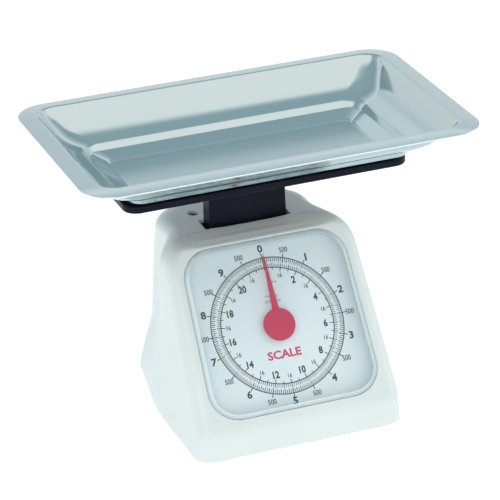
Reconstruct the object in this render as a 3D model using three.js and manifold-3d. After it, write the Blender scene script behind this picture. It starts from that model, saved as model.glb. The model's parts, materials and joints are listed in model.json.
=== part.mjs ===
// Mechanical dial platform scale, 10 kg by 50 g, with a lift-off steel goods tray.
// Millimetres, +Z up, front at -Y, left and right mirrored about X = 0.
// The origin is on the surface that the feet stand on, below the centre of the tray.
import * as THREE from 'three';
import { mergeVertices } from 'three/addons/utils/BufferGeometryUtils.js';
import { ParametricGeometry } from 'three/addons/geometries/ParametricGeometry.js';
import Module from 'manifold-3d';

const wasm = await Module();
wasm.setup();

// ---- Driving dimensions ----

const GAP = 0.3;            // between pieces that touch
const PLAY = 0.3;           // radial, of a shaft or screw in its hole

const FOOT_HEIGHT = 3;      // housing rim above the surface it stands on
const DECK_Z = 153.8;       // top of the housing
const WALL = 2.6;
const BASE_HALF_WIDTH = 88.4;
const BASE_FRONT_Y = -103.7;
const BASE_REAR_Y = 99;
const DECK_REAR_Y = 72;
const SHOULDER_HALF_WIDTH = 81.2;
const SHOULDER_RADIUS = 22;
const BACK_HALF_WIDTH = 65;
const BACK_FLARE = 6;
const BACK_EDGE_RADIUS = 10;
const BACK_CORNER_BASE = 24;
const BACK_CORNER_DECK = 32;
const FACE_EDGE_RADIUS = 13;

const DIAL_TILT = 34 * Math.PI / 180;
const DIAL_Y = -54.5;
const DIAL_Z = 86;
const FACE_OVER_DIAL = 7;   // housing face above the printed dial, along its normal
const WINDOW_HALF_WIDTH = 71.2;
const WINDOW_HALF_HEIGHT = 69.7;
const WINDOW_CENTRE_UP = 0.8;
const WINDOW_CORNER = 25;
const WINDOW_TAPER = 0.00035;
const LENS_PROUD = 1.9;
const LENS_BEVEL = 3.6;
const LENS_WALL = 1.8;
const DIAL_PLATE_THICK = 1;
const DIAL_LEDGE_WIDTH = 7;
const DIAL_LEDGE_THICK = 2.2;

const PINION_TEETH = 10;
const TOOTH_MODULE = 0.5;
const PINION_RADIUS = PINION_TEETH * TOOTH_MODULE / 2;
const PLATFORM_TRAVEL = 2 * Math.PI * PINION_RADIUS / Math.cos(DIAL_TILT);

const POINTER_REACH = 55.5;
const POINTER_HUB_RADIUS = 13.2;
const POINTER_TOP = 6.1;
const POINTER_HUB_THICK = 2.6;
const POINTER_ROOT_HALF = 2.9;
const POINTER_TIP_HALF = 0.6;
const SPINDLE_RADIUS = 1;
const PINION_FRONT = -12;
const BRACKET_REAR = -30;
const BRACKET_SHEET = 1.5;

const COLUMN_Y = 12.4;
const COLUMN_WIDTH = 65;
const COLUMN_DEPTH = 16.5;
const COLUMN_WALL = 2.4;
const COLUMN_BOTTOM = DECK_Z - 15.8;
const SLOT_SIDE_PLAY = 4;
const SLOT_DEPTH_PLAY = 2.2;

const PLATFORM_RISE = 54.6; // support plate's top over the deck
const SUPPORT_TOP = DECK_Z + PLATFORM_RISE;
const SUPPORT_THICK = 6;
const SUPPORT_WIDTH = 238.6;
const SUPPORT_DEPTH = 100;
const SUPPORT_CORNER = 12;
const SUPPORT_SKIN = 2.4;

const TRAY_WIDTH = 330;
const TRAY_DEPTH = 208;
const TRAY_SHEET = 0.9;
const TRAY_HEIGHT = 36.2;   // rim over the support plate
const TRAY_LEDGE_HEIGHT = 10.8;
const TRAY_RIM_Z = SUPPORT_TOP + TRAY_HEIGHT;
const TRAY_LEDGE_Z = SUPPORT_TOP + TRAY_LEDGE_HEIGHT;
const TRAY_LIP = 3.2;
const TRAY_FLANGE = 14;
const TRAY_LEDGE_INSET_X = 31;
const TRAY_LEDGE_INSET_Y = 41;
const TRAY_LEDGE_WIDTH_X = 17;
const TRAY_LEDGE_WIDTH_Y = 20;
const TRAY_WELL_SLOPE = 4;
const TRAY_CORNER = 17;

const CARRIAGE_SHEET = 3;
const CARRIAGE_SIDE_ROOM = 1.1;
const CARRIAGE_HALF_WIDTH = COLUMN_WIDTH / 2 - COLUMN_WALL - CARRIAGE_SIDE_ROOM;
const CARRIAGE_BOTTOM = 40;
const CARRIAGE_TOP = COLUMN_BOTTOM + 20;
const LEVER_LENGTH = 56;
const LEVER_SHEET = 1.6;
const LEVER_HEIGHT = 9;
const LOWER_ROD_Z = 44;
const LEVER_SPACING = 60;
const UPPER_ROD_Z = LOWER_ROD_Z + LEVER_SPACING;
const ROD_Y = 60;
const ROD_RADIUS = 2;
const CARRIAGE_PIN_RADIUS = 1.75;

const CHASSIS_SIDE_ROOM = 17;
const CHASSIS_HALF_WIDTH = CARRIAGE_HALF_WIDTH + CHASSIS_SIDE_ROOM;
const CHASSIS_SHEET = 2;
const CHASSIS_SHELF_Z = DECK_Z - 21.8;
const CHASSIS_SHELF_FRONT = 26;
const BASE_PLATE_THICK = 2.5;

const ZERO_HOLE_X = -35;
const ZERO_HOLE_Y = 39;
const ZERO_HOLE_RADIUS = 4.5;
const ZERO_SCREW_RADIUS = 2;
const ANCHOR_Z = CHASSIS_SHELF_Z - 9;
const ANCHOR_SHEET = 2.5;

const SPRING_X = 18;
const SPRING_Y = 32;
const SPRING_COIL_RADIUS = 5.2;
const SPRING_WIRE_RADIUS = 0.8;
const SPRING_TURNS = 11;

const ROUND = 20;           // sides of a small cylinder

// ---- Colours and finishes ----

function finish(color, roughness, metalness) {
  return new THREE.MeshStandardMaterial({ color, roughness, metalness });
}

const whitePlastic = finish(0xe2eae8, 0.4, 0);
const blackPlastic = finish(0x1c1e26, 0.45, 0);
const clearPlastic = finish(0xd8e4e8, 0.05, 0);
const redPlastic = finish(0xc83a5e, 0.4, 0);
const dialPaint = finish(0xdde6ea, 0.55, 0);
const stainless = finish(0xc4cfd2, 0.15, 1);
const zincSteel = finish(0xa9adb0, 0.4, 1);
const brass = finish(0xb8973f, 0.35, 1);
const rubber = finish(0x2a2b2d, 0.85, 0);

// ---- Joining and cutting closed meshes ----

function toSolid(geometry) {
  const bare = geometry.clone();
  bare.deleteAttribute('normal');
  bare.deleteAttribute('uv');
  const merged = mergeVertices(bare, 1e-4);
  const kept = [];
  const index = merged.index.array;
  for (let i = 0; i < index.length; i += 3) {
    const [a, b, c] = [index[i], index[i + 1], index[i + 2]];
    if (a !== b && b !== c && a !== c) kept.push(a, b, c);
  }
  return new wasm.Manifold(new wasm.Mesh({
    numProp: 3,
    vertProperties: new Float32Array(merged.attributes.position.array),
    triVerts: new Uint32Array(kept),
  }));
}

function toGeometry(solid) {
  const mesh = solid.getMesh();
  const geometry = new THREE.BufferGeometry();
  geometry.setAttribute('position', new THREE.BufferAttribute(mesh.vertProperties, 3));
  geometry.setIndex(new THREE.BufferAttribute(mesh.triVerts, 1));
  return geometry;
}

function join(...geometries) {
  return toGeometry(geometries.map(toSolid).reduce((whole, piece) => whole.add(piece)));
}

function cut(geometry, ...tools) {
  return toGeometry(tools.map(toSolid).reduce((left, tool) => left.subtract(tool), toSolid(geometry)));
}

function keepInside(geometry, limit) {
  return toGeometry(toSolid(geometry).intersect(toSolid(limit)));
}

// ---- Basic shapes ----

function block(x0, x1, y0, y1, z0, z1) {
  const geometry = new THREE.BoxGeometry(x1 - x0, y1 - y0, z1 - z0);
  return geometry.translate((x0 + x1) / 2, (y0 + y1) / 2, (z0 + z1) / 2);
}

function rodAlongZ(x, y, radius, z0, z1, sides = ROUND) {
  const geometry = new THREE.CylinderGeometry(radius, radius, z1 - z0, sides);
  return geometry.rotateX(Math.PI / 2).translate(x, y, (z0 + z1) / 2);
}

function rodAlongX(y, z, radius, x0, x1, sides = ROUND) {
  const geometry = new THREE.CylinderGeometry(radius, radius, x1 - x0, sides);
  return geometry.rotateZ(Math.PI / 2).translate((x0 + x1) / 2, y, z);
}

function rodAlongY(x, z, radius, y0, y1, sides = ROUND) {
  return new THREE.CylinderGeometry(radius, radius, y1 - y0, sides).translate(x, (y0 + y1) / 2, z);
}

// A turned piece about +Z: its outline runs from the axis to the axis, upwards.
function turned(outline, x = 0, y = 0, z = 0, sides = ROUND) {
  const points = outline.map(([r, h]) => new THREE.Vector2(r, h));
  return new THREE.LatheGeometry(points, sides).rotateX(Math.PI / 2).translate(x, y, z);
}

// A closed skin over rows of points. Each row is a closed loop with the same number of points.
// The first and the last row are closed to their middle.
function skin(rows) {
  const middle = (row) => row.reduce((sum, p) => sum.add(p), new THREE.Vector3()).divideScalar(row.length);
  const count = rows[0].length;
  const all = [rows[0].map(() => middle(rows[0])), ...rows, rows.at(-1).map(() => middle(rows.at(-1)))];
  const stacks = all.length - 1;
  return new ParametricGeometry((u, v, target) => {
    target.copy(all[Math.round(v * stacks)][Math.round(u * count) % count]);
  }, count, stacks);
}

// A skin that closes on itself from its last row to its first, like a bent ring.
function ringSkin(rows) {
  const count = rows[0].length;
  const stacks = rows.length;
  return new ParametricGeometry((u, v, target) => {
    target.copy(rows[Math.round(v * stacks) % stacks][Math.round(u * count) % count]);
  }, count, stacks);
}

// A rounded rectangle, anticlockwise seen from +Z.
function roundedLoop(halfX, halfY, corner, z, steps = 5) {
  const loop = [];
  const centres = [[1, -1, -90], [1, 1, 0], [-1, 1, 90], [-1, -1, 180]];
  for (const [sx, sy, start] of centres) {
    for (let i = 0; i <= steps; i++) {
      const angle = (start + 90 * i / steps) * Math.PI / 180;
      const x = sx * (halfX - corner) + corner * Math.cos(angle);
      const y = sy * (halfY - corner) + corner * Math.sin(angle);
      loop.push(new THREE.Vector3(x, y, z));
    }
  }
  return loop;
}

// ---- Dial frame: +X across, +Y up the tilted face, +Z out of the face, origin at its centre ----

const dialFrame = new THREE.Matrix4()
  .makeRotationX(Math.PI / 2 - DIAL_TILT)
  .setPosition(0, DIAL_Y, DIAL_Z);

function windowLoop(inset, out) {
  const halfX = WINDOW_HALF_WIDTH - inset;
  const halfY = WINDOW_HALF_HEIGHT - inset;
  const loop = roundedLoop(halfX, halfY, WINDOW_CORNER - inset, out, 6);
  for (const p of loop) {
    p.y += WINDOW_CENTRE_UP;
    p.x *= 1 - WINDOW_TAPER * p.y;
  }
  return loop;
}

// ---- Housing ----

const FACE_SLOPE = Math.tan(DIAL_TILT);
const FACE_Y = DIAL_Y - FACE_OVER_DIAL * Math.cos(DIAL_TILT);
const FACE_Z = DIAL_Z + FACE_OVER_DIAL * Math.sin(DIAL_TILT);

function easing(value, low, high) {
  return THREE.MathUtils.smoothstep(value, low, high);
}

// How far a rounded edge of this radius has drawn in at height z below a top at DECK_Z.
function drawnIn(z, radius) {
  const over = Math.max(0, z - (DECK_Z - radius));
  return radius - Math.sqrt(radius * radius - over * over);
}

function frontY(z) {
  const faceY = FACE_Y + (z - FACE_Z) * FACE_SLOPE;
  const arcZ = DECK_Z - FACE_EDGE_RADIUS;
  const arcY = FACE_Y + (arcZ - FACE_Z) * FACE_SLOPE + FACE_EDGE_RADIUS / Math.cos(DIAL_TILT);
  const touchZ = arcZ + FACE_EDGE_RADIUS * Math.sin(DIAL_TILT);
  if (z > touchZ) return arcY - Math.sqrt(FACE_EDGE_RADIUS ** 2 - (z - arcZ) ** 2);
  return Math.max(BASE_FRONT_Y, faceY);
}

// The housing's outline at a height: a wide front, a waist behind it and a narrower rounded back.
// The inset makes the inner outline of the wall.
function housingOutline(z, height, inset) {
  const rise = (z - FOOT_HEIGHT) / (DECK_Z - FOOT_HEIGHT);
  const shoulder = THREE.MathUtils.lerp(BASE_HALF_WIDTH, SHOULDER_HALF_WIDTH, Math.min(1, rise / 0.87));
  const front = shoulder - drawnIn(z, SHOULDER_RADIUS) - inset;
  const flare = BACK_FLARE * (1 - easing(z, 0, 56));
  const back = BACK_HALF_WIDTH + flare - drawnIn(z, BACK_EDGE_RADIUS) - inset;
  const y0 = frontY(z) + inset / Math.cos(z > 24 ? DIAL_TILT : 0);
  const y1 = THREE.MathUtils.lerp(BASE_REAR_Y, DECK_REAR_Y, rise) - drawnIn(z, BACK_EDGE_RADIUS) - inset;
  const frontCorner = THREE.MathUtils.lerp(13, 8, rise);
  const backCorner = THREE.MathUtils.lerp(BACK_CORNER_BASE, BACK_CORNER_DECK, rise ** 3) - inset;
  const narrowFrom = THREE.MathUtils.lerp(-20, Math.max(-6, y0 + frontCorner), easing(rise, 0, 1));
  const narrowTo = THREE.MathUtils.lerp(120, 26, easing(rise, -0.1, 0.75));
  const halfWidth = (y) => THREE.MathUtils.lerp(front, back, easing(y, narrowFrom, narrowTo));
  const half = [new THREE.Vector3(0, y0, height)];
  for (let i = 0; i <= 4; i++) {
    const angle = (-90 + 90 * i / 4) * Math.PI / 180;
    const x = front - frontCorner + frontCorner * Math.cos(angle);
    half.push(new THREE.Vector3(x, y0 + frontCorner + frontCorner * Math.sin(angle), height));
  }
  const sideSteps = 9;
  for (let i = 1; i <= sideSteps; i++) {
    const y = THREE.MathUtils.lerp(y0 + frontCorner, y1 - backCorner, (i / sideSteps) ** 0.9);
    half.push(new THREE.Vector3(halfWidth(y), y, height));
  }
  const cornerCentre = halfWidth(y1 - backCorner) - backCorner;
  for (let i = 1; i <= 4; i++) {
    const angle = 90 * i / 4 * Math.PI / 180;
    const x = cornerCentre + backCorner * Math.cos(angle);
    half.push(new THREE.Vector3(x, y1 - backCorner + backCorner * Math.sin(angle), height));
  }
  half.push(new THREE.Vector3(0, y1, height));
  const mirrored = half.slice(1, -1).reverse().map((p) => new THREE.Vector3(-p.x, p.y, p.z));
  return [...half, ...mirrored];
}

function housingHeights() {
  const heights = [FOOT_HEIGHT, 14, 22.4, 32, 46, 64, 86, 110, DECK_Z - SHOULDER_RADIUS];
  for (const turn of [18, 34, 48, 60, 71, 81, 90]) {
    heights.push(DECK_Z - SHOULDER_RADIUS + SHOULDER_RADIUS * Math.sin(turn * Math.PI / 180));
  }
  return heights;
}

function housingBody() {
  return skin(housingHeights().map((z) => housingOutline(z, z, 0)));
}

function housingHollow() {
  const rows = housingHeights().map((z) => housingOutline(z, z - WALL * easing(z, 90, DECK_Z), WALL));
  rows.unshift(housingOutline(FOOT_HEIGHT, FOOT_HEIGHT - WALL, WALL));
  return skin(rows);
}

const BASE_PLATE_BOTTOM = FOOT_HEIGHT + GAP;
const BASE_PLATE_TOP = BASE_PLATE_BOTTOM + BASE_PLATE_THICK;
const FRONT_POST = { x: BASE_HALF_WIDTH - 18.4, y: BASE_FRONT_Y + 19.7, top: 48 };
const REAR_POST = { x: BACK_HALF_WIDTH - 13, y: BASE_REAR_Y - 21, top: 34 };

function bothSides(...places) {
  return [1, -1].flatMap((side) => places.map((place) => ({ ...place, x: side * place.x })));
}

const POSTS = bothSides(FRONT_POST, REAR_POST);
const POST_RADIUS = 4.5;
const BASE_SCREW_RADIUS = 1.6;

function screwPosts() {
  const z0 = BASE_PLATE_TOP + GAP;
  return POSTS.flatMap(({ x, y, top }) => {
    const outX = Math.sign(x) * (BASE_HALF_WIDTH + 5);
    const outY = Math.sign(y) * (BASE_REAR_Y + 8);
    return [
      rodAlongZ(x, y, POST_RADIUS, z0, top),
      block(Math.min(x, outX), Math.max(x, outX), y - 1, y + 1, z0, top),
      block(x - 1, x + 1, Math.min(y, outY), Math.max(y, outY), z0, top),
    ];
  });
}

const LEDGE_TOP = -DIAL_PLATE_THICK - GAP;
const LEDGE_BOTTOM = LEDGE_TOP - DIAL_LEDGE_THICK;
const BRACKET_SCREW_X = WINDOW_HALF_WIDTH - 3.7;
const BRACKET_SCREW_RADIUS = 1;

function makeHousing() {
  const body = housingBody();
  const pocket = skin([windowLoop(-2.2, LEDGE_BOTTOM), windowLoop(-2.2, FACE_OVER_DIAL - 1)]);
  const shell = cut(body, housingHollow());
  const extras = join(pocket.applyMatrix4(dialFrame), ...screwPosts());
  const whole = join(shell, keepInside(extras, body));
  const opening = skin([windowLoop(0, LEDGE_TOP), windowLoop(0, FACE_OVER_DIAL + 9)]);
  const inner = [LEDGE_BOTTOM - 3, LEDGE_TOP + 3].map((out) => windowLoop(DIAL_LEDGE_WIDTH, out));
  const through = skin(inner);
  const slotX = COLUMN_WIDTH / 2 + SLOT_SIDE_PLAY;
  const slotY = COLUMN_DEPTH / 2 + SLOT_DEPTH_PLAY;
  const slot = block(-slotX, slotX, COLUMN_Y - slotY, COLUMN_Y + slotY, DECK_Z - 12, DECK_Z + 5);
  const zeroHole = rodAlongZ(ZERO_HOLE_X, ZERO_HOLE_Y, ZERO_HOLE_RADIUS, DECK_Z - 12, DECK_Z + 5);
  const screwHoles = POSTS.map(({ x, y }) => rodAlongZ(x, y, BASE_SCREW_RADIUS + PLAY, 0, 22, 12));
  const bracketHoles = [-1, 1].map((side) => {
    const x = side * BRACKET_SCREW_X;
    const hole = rodAlongZ(x, 0, BRACKET_SCREW_RADIUS + PLAY, LEDGE_BOTTOM - 3, LEDGE_TOP + 2, 12);
    return hole.applyMatrix4(dialFrame);
  });
  opening.applyMatrix4(dialFrame);
  through.applyMatrix4(dialFrame);
  return cut(whole, opening, through, slot, zeroHole, ...screwHoles, ...bracketHoles);
}

// ---- Base plate, feet and base screws ----

const FRONT_FOOT = { x: BASE_HALF_WIDTH - 35.6, y: BASE_FRONT_Y + 38.1 };
const REAR_FOOT = { x: BACK_HALF_WIDTH - 28.2, y: BASE_REAR_Y - 41.6 };
const FEET = bothSides(FRONT_FOOT, REAR_FOOT);
const FOOT_RADIUS = 8;
const FOOT_STEM_RADIUS = 2.6;
const CHASSIS_SCREW_X = CHASSIS_HALF_WIDTH - 6;
const CHASSIS_SCREWS = bothSides({ x: CHASSIS_SCREW_X, y: ROD_Y - 14 }, { x: CHASSIS_SCREW_X, y: ROD_Y + 2 });
const CHASSIS_SCREW_RADIUS = 1.6;

function makeBasePlate() {
  const inset = WALL + 2 * GAP;
  const rows = [BASE_PLATE_BOTTOM, BASE_PLATE_TOP].map((z) => housingOutline(z, z, inset));
  const holes = [
    ...FEET.map(({ x, y }) => rodAlongZ(x, y, FOOT_STEM_RADIUS + PLAY, 0, 9, 12)),
    ...POSTS.map(({ x, y }) => rodAlongZ(x, y, BASE_SCREW_RADIUS + PLAY, 0, 9, 12)),
    ...CHASSIS_SCREWS.map(({ x, y }) => rodAlongZ(x, y, CHASSIS_SCREW_RADIUS + PLAY, 0, 9, 12)),
  ];
  return cut(skin(rows), ...holes);
}

function makeFoot({ x, y }) {
  const top = BASE_PLATE_BOTTOM - GAP;
  return turned([[0, 0], [FOOT_RADIUS - 1, 0], [FOOT_RADIUS, 1], [FOOT_RADIUS, top],
    [FOOT_STEM_RADIUS, top], [FOOT_STEM_RADIUS, BASE_PLATE_TOP], [0, BASE_PLATE_TOP]], x, y, 0, 16);
}

// A pan-headed screw that points up, with its head below the plate.
function makeBaseScrew({ x, y }) {
  const headTop = BASE_PLATE_BOTTOM - GAP;
  return turned([[0, headTop - 1.8], [2.6, headTop - 1.8], [3, headTop - 1], [3, headTop],
    [BASE_SCREW_RADIUS, headTop], [BASE_SCREW_RADIUS, 20], [0, 20.8]], x, y, 0, 12);
}

// ---- Dial, lens, pointer and spindle, in the dial frame ----

function makeDialPlate() {
  const inset = 2 * GAP;
  const plate = skin([windowLoop(inset, -DIAL_PLATE_THICK), windowLoop(inset, 0)]);
  return cut(plate, rodAlongZ(0, 0, 3, -3, 3));
}

function makeLens() {
  const top = FACE_OVER_DIAL + LENS_PROUD;
  const side = FACE_OVER_DIAL + 0.3;
  const outer = skin([windowLoop(GAP, GAP), windowLoop(GAP, side), windowLoop(LENS_BEVEL, top)]);
  const hollow = [GAP - 3, POINTER_TOP + 0.5].map((out) => windowLoop(GAP + LENS_WALL, out));
  return cut(outer, skin(hollow));
}

function makePointer() {
  const base = POINTER_TOP - POINTER_HUB_THICK;
  const needle = new THREE.Shape();
  needle.moveTo(-POINTER_ROOT_HALF, 0);
  needle.lineTo(POINTER_ROOT_HALF, 0);
  needle.lineTo(POINTER_ROOT_HALF, POINTER_HUB_RADIUS - 1.2);
  needle.lineTo(POINTER_TIP_HALF, POINTER_REACH);
  needle.lineTo(-POINTER_TIP_HALF, POINTER_REACH);
  needle.lineTo(-POINTER_ROOT_HALF, POINTER_HUB_RADIUS - 1.2);
  const blade = new THREE.ExtrudeGeometry(needle, { depth: 1, bevelEnabled: false });
  blade.translate(0, 0, base + 0.5);
  const edge = 0.5;
  const outline = [[0, base], [POINTER_HUB_RADIUS - edge, base], [POINTER_HUB_RADIUS, base + edge],
    [POINTER_HUB_RADIUS, POINTER_TOP - edge], [POINTER_HUB_RADIUS - edge, POINTER_TOP], [0, POINTER_TOP]];
  const hub = turned(outline, 0, 0, 0, 40);
  const boss = rodAlongZ(0, 0, 2.6, base - 2.2, base + 0.5);
  const bore = rodAlongZ(0, 0, SPINDLE_RADIUS + PLAY, base - 4, POINTER_TOP - 0.8, 12);
  return cut(join(blade, hub, boss), bore);
}

const SPINDLE_FRONT = POINTER_TOP - 0.8 - GAP;

function makeSpindle() {
  return rodAlongZ(0, 0, SPINDLE_RADIUS, BRACKET_REAR - 5, SPINDLE_FRONT, 12);
}

// Tooth half-thickness at a height over the pitch line, for a 20 degree rack with backlash.
const PITCH = Math.PI * TOOTH_MODULE;
const TOOTH_SHARE = 0.4;
const TOOTH_SLANT = Math.tan(20 * Math.PI / 180);

function toothHalf(height) {
  return PITCH * TOOTH_SHARE / 2 - height * TOOTH_SLANT;
}

const ADDENDUM = 0.85 * TOOTH_MODULE;
const DEDENDUM = 1.15 * TOOTH_MODULE;
const RACK_LIFT = 4;
const RACK_TOP = 25;
const RACK_THICK = 2.4;
const RACK_BACK = 8;
const RACK_PAD_FROM = 18.5;
const RACK_PAD_HALF = 3.5;
const RACK_SCREW_UP = 21.8;
const RACK_SCREW_RADIUS = 1.2;
const RACK_MIDDLE = PINION_FRONT - 1.5;
const PINION_LENGTH = PLATFORM_TRAVEL * Math.sin(DIAL_TILT) + RACK_THICK + 2;

// Pinion teeth lie half a pitch away from the rack's, so the two are in mesh at rest.
function makePinion() {
  const points = [];
  for (let tooth = 0; tooth < PINION_TEETH; tooth++) {
    const middle = 2 * Math.PI * tooth / PINION_TEETH;
    const corners = [[PINION_RADIUS - DEDENDUM, 1.25], [PINION_RADIUS, 1], [PINION_RADIUS + ADDENDUM, 0.4]];
    const side = corners.map(([radius, share]) => [radius, PITCH * TOOTH_SHARE / 2 * share / PINION_RADIUS]);
    const profile = [...side.map(([r, a]) => [r, -a]), ...side.reverse()];
    for (const [radius, angle] of profile) {
      const x = radius * Math.cos(middle + angle);
      const y = radius * Math.sin(middle + angle);
      points.push(new THREE.Vector2(x, y));
    }
  }
  const back = PINION_FRONT - PINION_LENGTH;
  const shape = new THREE.Shape(points);
  const gear = new THREE.ExtrudeGeometry(shape, { depth: PINION_LENGTH, bevelEnabled: false });
  gear.translate(0, 0, back);
  return cut(gear, rodAlongZ(0, 0, SPINDLE_RADIUS + PLAY, back - 2, PINION_FRONT + 2, 12));
}

// The rack's teeth point to the pinion, on its right. A gap faces the pinion's tooth at rest.
function makeRack() {
  const shape = new THREE.Shape();
  shape.moveTo(RACK_BACK, -RACK_LIFT);
  shape.lineTo(RACK_BACK, RACK_TOP);
  shape.lineTo(PINION_RADIUS + DEDENDUM, RACK_TOP);
  const first = Math.floor((RACK_PAD_FROM - 1) / PITCH - 0.5);
  const last = Math.ceil(-RACK_LIFT / PITCH + 0.5);
  for (let tooth = first; tooth >= last; tooth--) {
    const middle = (tooth + 0.5) * PITCH;
    const root = toothHalf(-DEDENDUM);
    const tip = toothHalf(ADDENDUM);
    shape.lineTo(PINION_RADIUS + DEDENDUM, middle + root);
    shape.lineTo(PINION_RADIUS - ADDENDUM, middle + tip);
    shape.lineTo(PINION_RADIUS - ADDENDUM, middle - tip);
    shape.lineTo(PINION_RADIUS + DEDENDUM, middle - root);
  }
  shape.lineTo(PINION_RADIUS + DEDENDUM, -RACK_LIFT);
  const strip = new THREE.ExtrudeGeometry(shape, { depth: RACK_THICK, bevelEnabled: false });
  strip.translate(0, 0, RACK_MIDDLE - RACK_THICK / 2);
  const pad = block(PINION_RADIUS + DEDENDUM + 0.6, RACK_BACK, RACK_PAD_FROM, RACK_TOP + 1,
    RACK_MIDDLE - RACK_PAD_HALF, RACK_MIDDLE + RACK_PAD_HALF);
  const hole = rodAlongX(RACK_SCREW_UP, RACK_MIDDLE, RACK_SCREW_RADIUS + PLAY, 0, 12, 12);
  return cut(join(strip, pad), hole);
}

const ARM_SHEET = 2;
const ARM_X = RACK_BACK + GAP;

function makeRackScrew() {
  const seat = ARM_X + ARM_SHEET + GAP;
  const head = rodAlongX(RACK_SCREW_UP, RACK_MIDDLE, 2.4, seat, seat + 1.6, 12);
  const shank = rodAlongX(RACK_SCREW_UP, RACK_MIDDLE, RACK_SCREW_RADIUS, RACK_BACK - 4, seat + 0.7, 12);
  return join(head, shank);
}

// ---- Spindle bracket, its bushes and screws, in the dial frame ----

const BRACKET_FRONT = LEDGE_BOTTOM - GAP;
const BUSH_RADIUS = 2.4;
const BRACKET_SIDE = -12;

function makeBracket() {
  const sheet = BRACKET_SHEET;
  const end = BRACKET_SCREW_X + 5.5;
  const bar = block(-end, end, -6, 6, BRACKET_FRONT - sheet, BRACKET_FRONT);
  const side = block(BRACKET_SIDE - sheet, BRACKET_SIDE, -6, 6, BRACKET_REAR - sheet, BRACKET_FRONT);
  const rear = block(BRACKET_SIDE - sheet, BUSH_RADIUS + 1.3, -5, 5, BRACKET_REAR - sheet, BRACKET_REAR);
  const bushHole = rodAlongZ(0, 0, BUSH_RADIUS + PLAY, BRACKET_REAR - 5, BRACKET_FRONT + 5);
  const screwHoles = [-BRACKET_SCREW_X, BRACKET_SCREW_X].map((x) => {
    return rodAlongZ(x, 0, BRACKET_SCREW_RADIUS + PLAY, BRACKET_FRONT - 5, BRACKET_FRONT + 2, 12);
  });
  return cut(join(bar, side, rear), bushHole, ...screwHoles);
}

// A plain bush with a collar that stops against the sheet it sits in.
function makeBush(sheetFront) {
  const behind = sheetFront - BRACKET_SHEET - 0.6;
  const collar = BUSH_RADIUS + 0.9;
  const body = turned([[0, behind], [BUSH_RADIUS, behind], [BUSH_RADIUS, sheetFront + GAP],
    [collar, sheetFront + GAP], [collar, sheetFront + 1.1], [0, sheetFront + 1.1]]);
  return cut(body, rodAlongZ(0, 0, SPINDLE_RADIUS + PLAY, behind - 2, sheetFront + 3, 16));
}

function makeBracketScrew(x) {
  const back = BRACKET_FRONT - BRACKET_SHEET - GAP;
  const radius = BRACKET_SCREW_RADIUS;
  return turned([[0, back - 1.4], [1.8, back - 1.4], [2.1, back - 0.8], [2.1, back],
    [radius, back], [radius, LEDGE_TOP - 0.4], [0, LEDGE_TOP - 0.2]], x, 0, 0, 12);
}

// ---- Chassis: a bent steel sheet on the base plate ----

const CHASSIS_FOOT_Z = BASE_PLATE_TOP + GAP;
const CHASSIS_BACK_Y = ROD_Y + 7;
const CHASSIS_FRONT_Y = ROD_Y - 20;

function makeChassis() {
  const t = CHASSIS_SHEET;
  const w = CHASSIS_HALF_WIDTH;
  const top = CHASSIS_SHELF_Z + t;
  const foot = block(-w, w, CHASSIS_FRONT_Y, CHASSIS_BACK_Y, CHASSIS_FOOT_Z, CHASSIS_FOOT_Z + t);
  const shelf = block(-w, w, CHASSIS_SHELF_FRONT, CHASSIS_BACK_Y - 8, CHASSIS_SHELF_Z, top);
  const back = block(-w, w, CHASSIS_BACK_Y - 8 - t, CHASSIS_BACK_Y - 8, UPPER_ROD_Z + 12, top);
  const web = block(-w, w, CHASSIS_BACK_Y - t, CHASSIS_BACK_Y, CHASSIS_FOOT_Z, UPPER_ROD_Z - 14);
  const opening = block(-w + 12, w - 12, CHASSIS_BACK_Y - 5, CHASSIS_BACK_Y + 5, 24, UPPER_ROD_Z - 26);
  const sides = [-1, 1].map((s) => {
    const inner = s > 0 ? w - t : -w;
    return block(inner, inner + t, ROD_Y - 10, ROD_Y + 6, CHASSIS_FOOT_Z, UPPER_ROD_Z - 13);
  });
  const uppers = [-1, 1].map((s) => {
    const inner = s > 0 ? w - t : -w;
    return block(inner, inner + t, ROD_Y - 10, ROD_Y + 4, UPPER_ROD_Z - 14, UPPER_ROD_Z + 10);
  });
  const tops = [-1, 1].map((s) => {
    const inner = s > 0 ? w - t : -w;
    return block(inner, inner + t, CHASSIS_SHELF_FRONT, CHASSIS_BACK_Y - 8, UPPER_ROD_Z + 9, top);
  });
  const rodHoles = [LOWER_ROD_Z, UPPER_ROD_Z].map((z) => {
    return rodAlongX(ROD_Y, z, ROD_RADIUS + PLAY, -w - 5, w + 5, 16);
  });
  const screwHoles = CHASSIS_SCREWS.map(({ x, y }) => {
    return rodAlongZ(x, y, CHASSIS_SCREW_RADIUS + PLAY, 0, 20, 12);
  });
  const [low, high] = [CHASSIS_SHELF_Z - 4, top + 4];
  const zeroHole = rodAlongZ(ZERO_HOLE_X, ZERO_HOLE_Y, ZERO_SCREW_RADIUS + PLAY, low, high, 16);
  const guideHole = rodAlongZ(-ZERO_HOLE_X, ZERO_HOLE_Y, GUIDE_PIN_RADIUS + PLAY, low, high, 16);
  const whole = join(foot, shelf, back, cut(web, opening), ...sides, ...uppers, ...tops);
  return cut(whole, ...rodHoles, ...screwHoles, zeroHole, guideHole);
}

function makeChassisScrew({ x, y }) {
  const seat = CHASSIS_FOOT_Z + CHASSIS_SHEET + GAP;
  return turned([[0, BASE_PLATE_BOTTOM + 0.4], [CHASSIS_SCREW_RADIUS, BASE_PLATE_BOTTOM + 0.6],
    [CHASSIS_SCREW_RADIUS, seat], [3, seat], [3, seat + 1.2], [2.4, seat + 2], [0, seat + 2]], x, y, 0, 12);
}

function makePivotRod(z) {
  const end = CHASSIS_HALF_WIDTH + 2.5;
  return rodAlongX(ROD_Y, z, ROD_RADIUS, -end, end, 16);
}

// ---- Zero adjuster ----

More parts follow.
